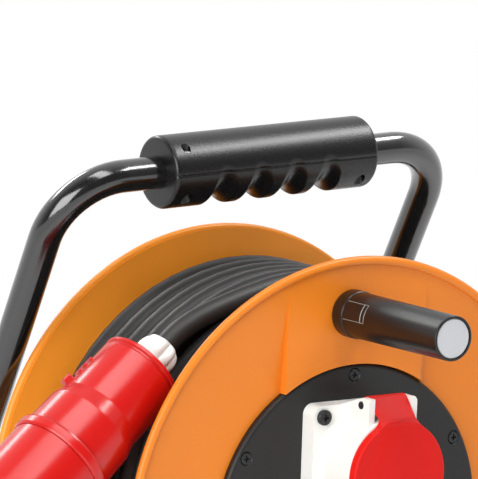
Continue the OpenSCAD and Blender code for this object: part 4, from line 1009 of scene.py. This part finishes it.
class REEL_OT_grip(bpy.types.Operator):
    """The two halves of the carrying grip, with finger grooves under it"""

    bl_idname = "reel.grip"
    bl_label = "Grip"

    def execute(self, context):
        place = REEL @ Matrix.Translation((0, BAR_Y, BAR_Z))
        blend = sizes().finger_blend / MM
        ends = GRIP_HALF - GRIP_EDGE * (1 - np.sin(np.linspace(0, math.pi / 2, 7)))
        stations = np.concatenate([-ends[::-1], np.linspace(-GRIP_HALF + 3, GRIP_HALF - 3, 210), ends])
        for name, node, first in (("grip_top", "grip_upper", -90), ("grip_under", "grip_lower", 90)):
            sweep = np.radians(np.linspace(first, first + 180, 97))
            outer, inner = [], []
            for x in stations:
                row = []
                for a in sweep:
                    seam = 0.35 * math.exp(-((min(abs(a - sweep[0]), abs(a - sweep[-1])) * GRIP_R / 0.35) ** 2))
                    r = grip_radius(x, a, blend) - seam
                    row.append((x, r * math.sin(a), r * math.cos(a)))
                outer.append(row)
                inner.append([(x, BORE_R * math.sin(a), BORE_R * math.cos(a)) for a in reversed(sweep)])
            rows = [o + i for o, i in zip(outer, inner)]
            caps, count = [], len(sweep)
            faces = [(k, k + 1, 2 * count - 2 - k, 2 * count - 1 - k) for k in range(count - 1)]
            half = skin(name, rows, Matrix.Identity(4), cap=False)
            for row in (rows[0], rows[-1]):
                cap = bpy.data.meshes.new("cap")
                cap.from_pydata(row, [], faces)
                caps.append(cap)
            whole = outward(join(name, [half, *caps]), place)
            low, high, radius = (9.6, 25, 2.6) if node == "grip_upper" else (-25, -6, 3.1)
            holes = [
                lathe("hole", [(0, low), (radius, low), (radius, high), (0, high)], place @ spot @ UPRIGHT, 32)
                for spot in (GRIP_SCREWS[::3] if node == "grip_upper" else GRIP_SCREWS)
            ]
            shown(united(name, [whole, *holes], "DIFFERENCE"), name, grip_plastic(), "frame", [node],
                  "grip_plastic", 50)
        screw_ends = [
            lathe(
                "screw_end",
                rounded([(0, 7, 0), (1.5, 7, 0), (1.5, 9.7, 0), (2.4, 9.7, 0.1), (2.4, 12.2, 0.6), (0, 13, 0)]),
                place @ spot @ UPRIGHT, 32,
            )
            for spot in GRIP_SCREWS[::3]
        ]
        screws = join("grip_screws_finished", [softened(merged("grip_screws"), sizes().metal_edge), *screw_ends])
        shown(screws, "grip_screws_finished", zinc(), "frame", ["grip_screws"], slot_of("grip_screws"))
        return {"FINISHED"}


# ---- Stage ----


# Name, place, aim, width, length, watts and spin in degrees of each lamp
LAMPS = (
    ("key", (-2.5, -1.2, 1.2), (0.0, 0.0, 0.22), 2.2, 1.8, 72, 0),
    ("over_plug", (-0.2, -0.55, 1.7), (-0.11, -0.02, 0.27), 0.42, 1.3, 10, 20),
    ("over_grip", (0.86, -0.4, 1.55), (0.0, 0.03, 0.35), 1.3, 0.22, 14, 0),
    ("behind_knob", (-0.22, 1.5, 1.25), (0.0, -0.1, 0.28), 1.0, 0.3, 9, 0),
)
CAMERA_AT = (-1.24837, -1.74912, 0.67472)
# Its turn, lift and roll in degrees
CAMERA_ANGLES = (-34.67, 9.56, -0.25)
# A focal length of 4000 pixels, where the longer side of the view has 479
SENSOR = 36
LENS = 4000 * SENSOR / 479
FLOOR_HALF = 6
BEHIND, WINDOW = (0.57, 0.82, 0.0), (-0.62, 0.1, 0.78)


def of_two(tree, operation, a, b):
    """The result of a math node on two values."""
    return add(tree, "ShaderNodeMath", links={0: a, 1: b}, operation=operation).outputs[0]


def facing(tree, place, side):
    """How far a direction points to a side."""
    return add(tree, "ShaderNodeVectorMath", {1: side}, {0: place}, operation="DOT_PRODUCT").outputs["Value"]


def stage_material(name, tone):
    """A pale studio surface that shows white to the camera and in reflections away from the object."""
    material, tree, place = blank(name)
    away = add(tree, "ShaderNodeVectorMath", links={0: place}, operation="LENGTH").outputs["Value"]
    ray = add(tree, "ShaderNodeLightPath").outputs
    seen = of_two(tree, "MAXIMUM", ray["Is Camera Ray"], ray["Is Glossy Ray"])
    seen = of_two(tree, "MAXIMUM", seen, ray["Is Transmission Ray"])
    share = of_two(tree, "MULTIPLY", seen, mapped(tree, away, 0.35, 1.1, curve="SMOOTHSTEP"))
    paper = add(tree, "ShaderNodeBsdfDiffuse", {"Color": tone}).outputs[0]
    white = add(tree, "ShaderNodeEmission", {"Color": (1, 1, 1, 1), "Strength": 1.0}).outputs[0]
    mix = add(tree, "ShaderNodeMixShader", links={0: share, 1: paper, 2: white})
    add(tree, "ShaderNodeOutputMaterial", links={"Surface": mix.outputs["Shader"]})
    return material


def lamp(name, at, aim, width, length, power, spin):
    """A soft rectangular lamp at a place, aimed at a point and spun round its own axis by degrees."""
    data = bpy.data.lights.new(name, "AREA")
    data.shape = "RECTANGLE"
    data.size, data.size_y = width, length
    data.energy = power
    aimed = (Vector(aim) - Vector(at)).to_track_quat("-Z", "Y").to_matrix().to_4x4()
    placed(name, data).matrix_world = Matrix.Translation(at) @ aimed @ Matrix.Rotation(math.radians(spin), 4, "Z")


class REEL_OT_stage(bpy.types.Operator):
    """The floor, the studio light and the camera"""

    bl_idname = "reel.stage"
    bl_label = "Stage"

    def execute(self, context):
        scene = context.scene
        scene.view_settings.view_transform = "Standard"
        mesh = bpy.data.meshes.new("floor")
        corners = [(x * FLOOR_HALF, y * FLOOR_HALF, 0) for x, y in ((-1, -1), (1, -1), (1, 1), (-1, 1))]
        mesh.from_pydata(corners, [], [(0, 1, 2, 3)])
        mesh.materials.append(stage_material("studio_paper", linear("#F2F2F2")))
        floor = placed("floor", mesh)

        world = bpy.data.worlds.new("studio")
        scene.world = world
        world.use_nodes = True
        tree = world.node_tree
        tree.nodes.clear()
        ray = add(tree, "ShaderNodeLightPath").outputs
        seen = of_two(tree, "MAXIMUM", ray["Is Camera Ray"], ray["Is Transmission Ray"])
        # Reflections see the white backdrop behind the reel and the dark side of the studio in front of it
        place = add(tree, "ShaderNodeTexCoord").outputs["Object"]
        mirrored = mapped(tree, facing(tree, place, BEHIND), -0.55, 0.45, 0.12, curve="SMOOTHSTEP")
        soft = mapped(tree, facing(tree, place, WINDOW), -0.6, 0.8, 0.1, 0.5)
        fill = add(tree, "ShaderNodeMix", links={"Factor": ray["Is Glossy Ray"], "A": soft, "B": mirrored})
        level = add(
            tree, "ShaderNodeMapRange", {"To Max": 1.0}, {"Value": seen, "To Min": fill.outputs["Result"]}
        )
        sky = add(tree, "ShaderNodeBackground", {"Color": (1, 1, 1, 1)}, {"Strength": level.outputs["Result"]})
        add(tree, "ShaderNodeOutputWorld", links={"Surface": sky.outputs["Background"]})

        for values in LAMPS:
            lamp(*values)

        data = bpy.data.cameras.new("camera")
        data.sensor_width, data.lens = SENSOR, LENS
        data.clip_start, data.clip_end = 0.05, 50
        camera = placed("camera", data)
        turn, lift, roll = (math.radians(angle) for angle in CAMERA_ANGLES)
        right = Vector((math.cos(turn), math.sin(turn), 0))
        back = Vector((math.sin(turn) * math.cos(lift), -math.cos(turn) * math.cos(lift), math.sin(lift)))
        up = back.cross(right)
        level_right = right * math.cos(roll) + up * math.sin(roll)
        level_up = up * math.cos(roll) - right * math.sin(roll)
        camera.matrix_world = Matrix.Translation(CAMERA_AT) @ Matrix(
            (level_right, level_up, back)
        ).transposed().to_4x4()
        scene.camera = camera
        return {"FINISHED"}


class REEL_PT_panel(bpy.types.Panel):
    """Sizes, colours and the pieces of the reel"""

    bl_label = "Extension cord reel"
    bl_idname = "REEL_PT_panel"
    bl_space_type = "VIEW_3D"
    bl_region_type = "UI"
    bl_category = "Reel"

    def draw(self, context):
        for group in (context.scene.reel_sizes, context.scene.reel_colours):
            for name in group.__annotations__:
                self.layout.prop(group, name)
        for operator in OPERATORS:
            self.layout.operator(operator.bl_idname)


OPERATORS = (
    REEL_OT_stage, REEL_OT_plug, REEL_OT_lead, REEL_OT_winding, REEL_OT_drum, REEL_OT_sockets, REEL_OT_crank,
    REEL_OT_frame, REEL_OT_grip,
)


def register():
    for made in (ReelSizes, ReelColours, *OPERATORS, REEL_PT_panel):
        bpy.utils.register_class(made)
    bpy.types.Scene.reel_sizes = bpy.props.PointerProperty(type=ReelSizes)
    bpy.types.Scene.reel_colours = bpy.props.PointerProperty(type=ReelColours)


def unregister():
    del bpy.types.Scene.reel_colours
    del bpy.types.Scene.reel_sizes
    for made in reversed((ReelSizes, ReelColours, *OPERATORS, REEL_PT_panel)):
        bpy.utils.unregister_class(made)


def main():
    register()
    for name in ("Cube", "Light", "Camera"):
        if name in bpy.data.objects:
            bpy.data.objects.remove(bpy.data.objects[name])
    for operator in OPERATORS:
        area, name = operator.bl_idname.split(".")
        getattr(getattr(bpy.ops, area), name)()


if __name__ == "__main__":
    main()
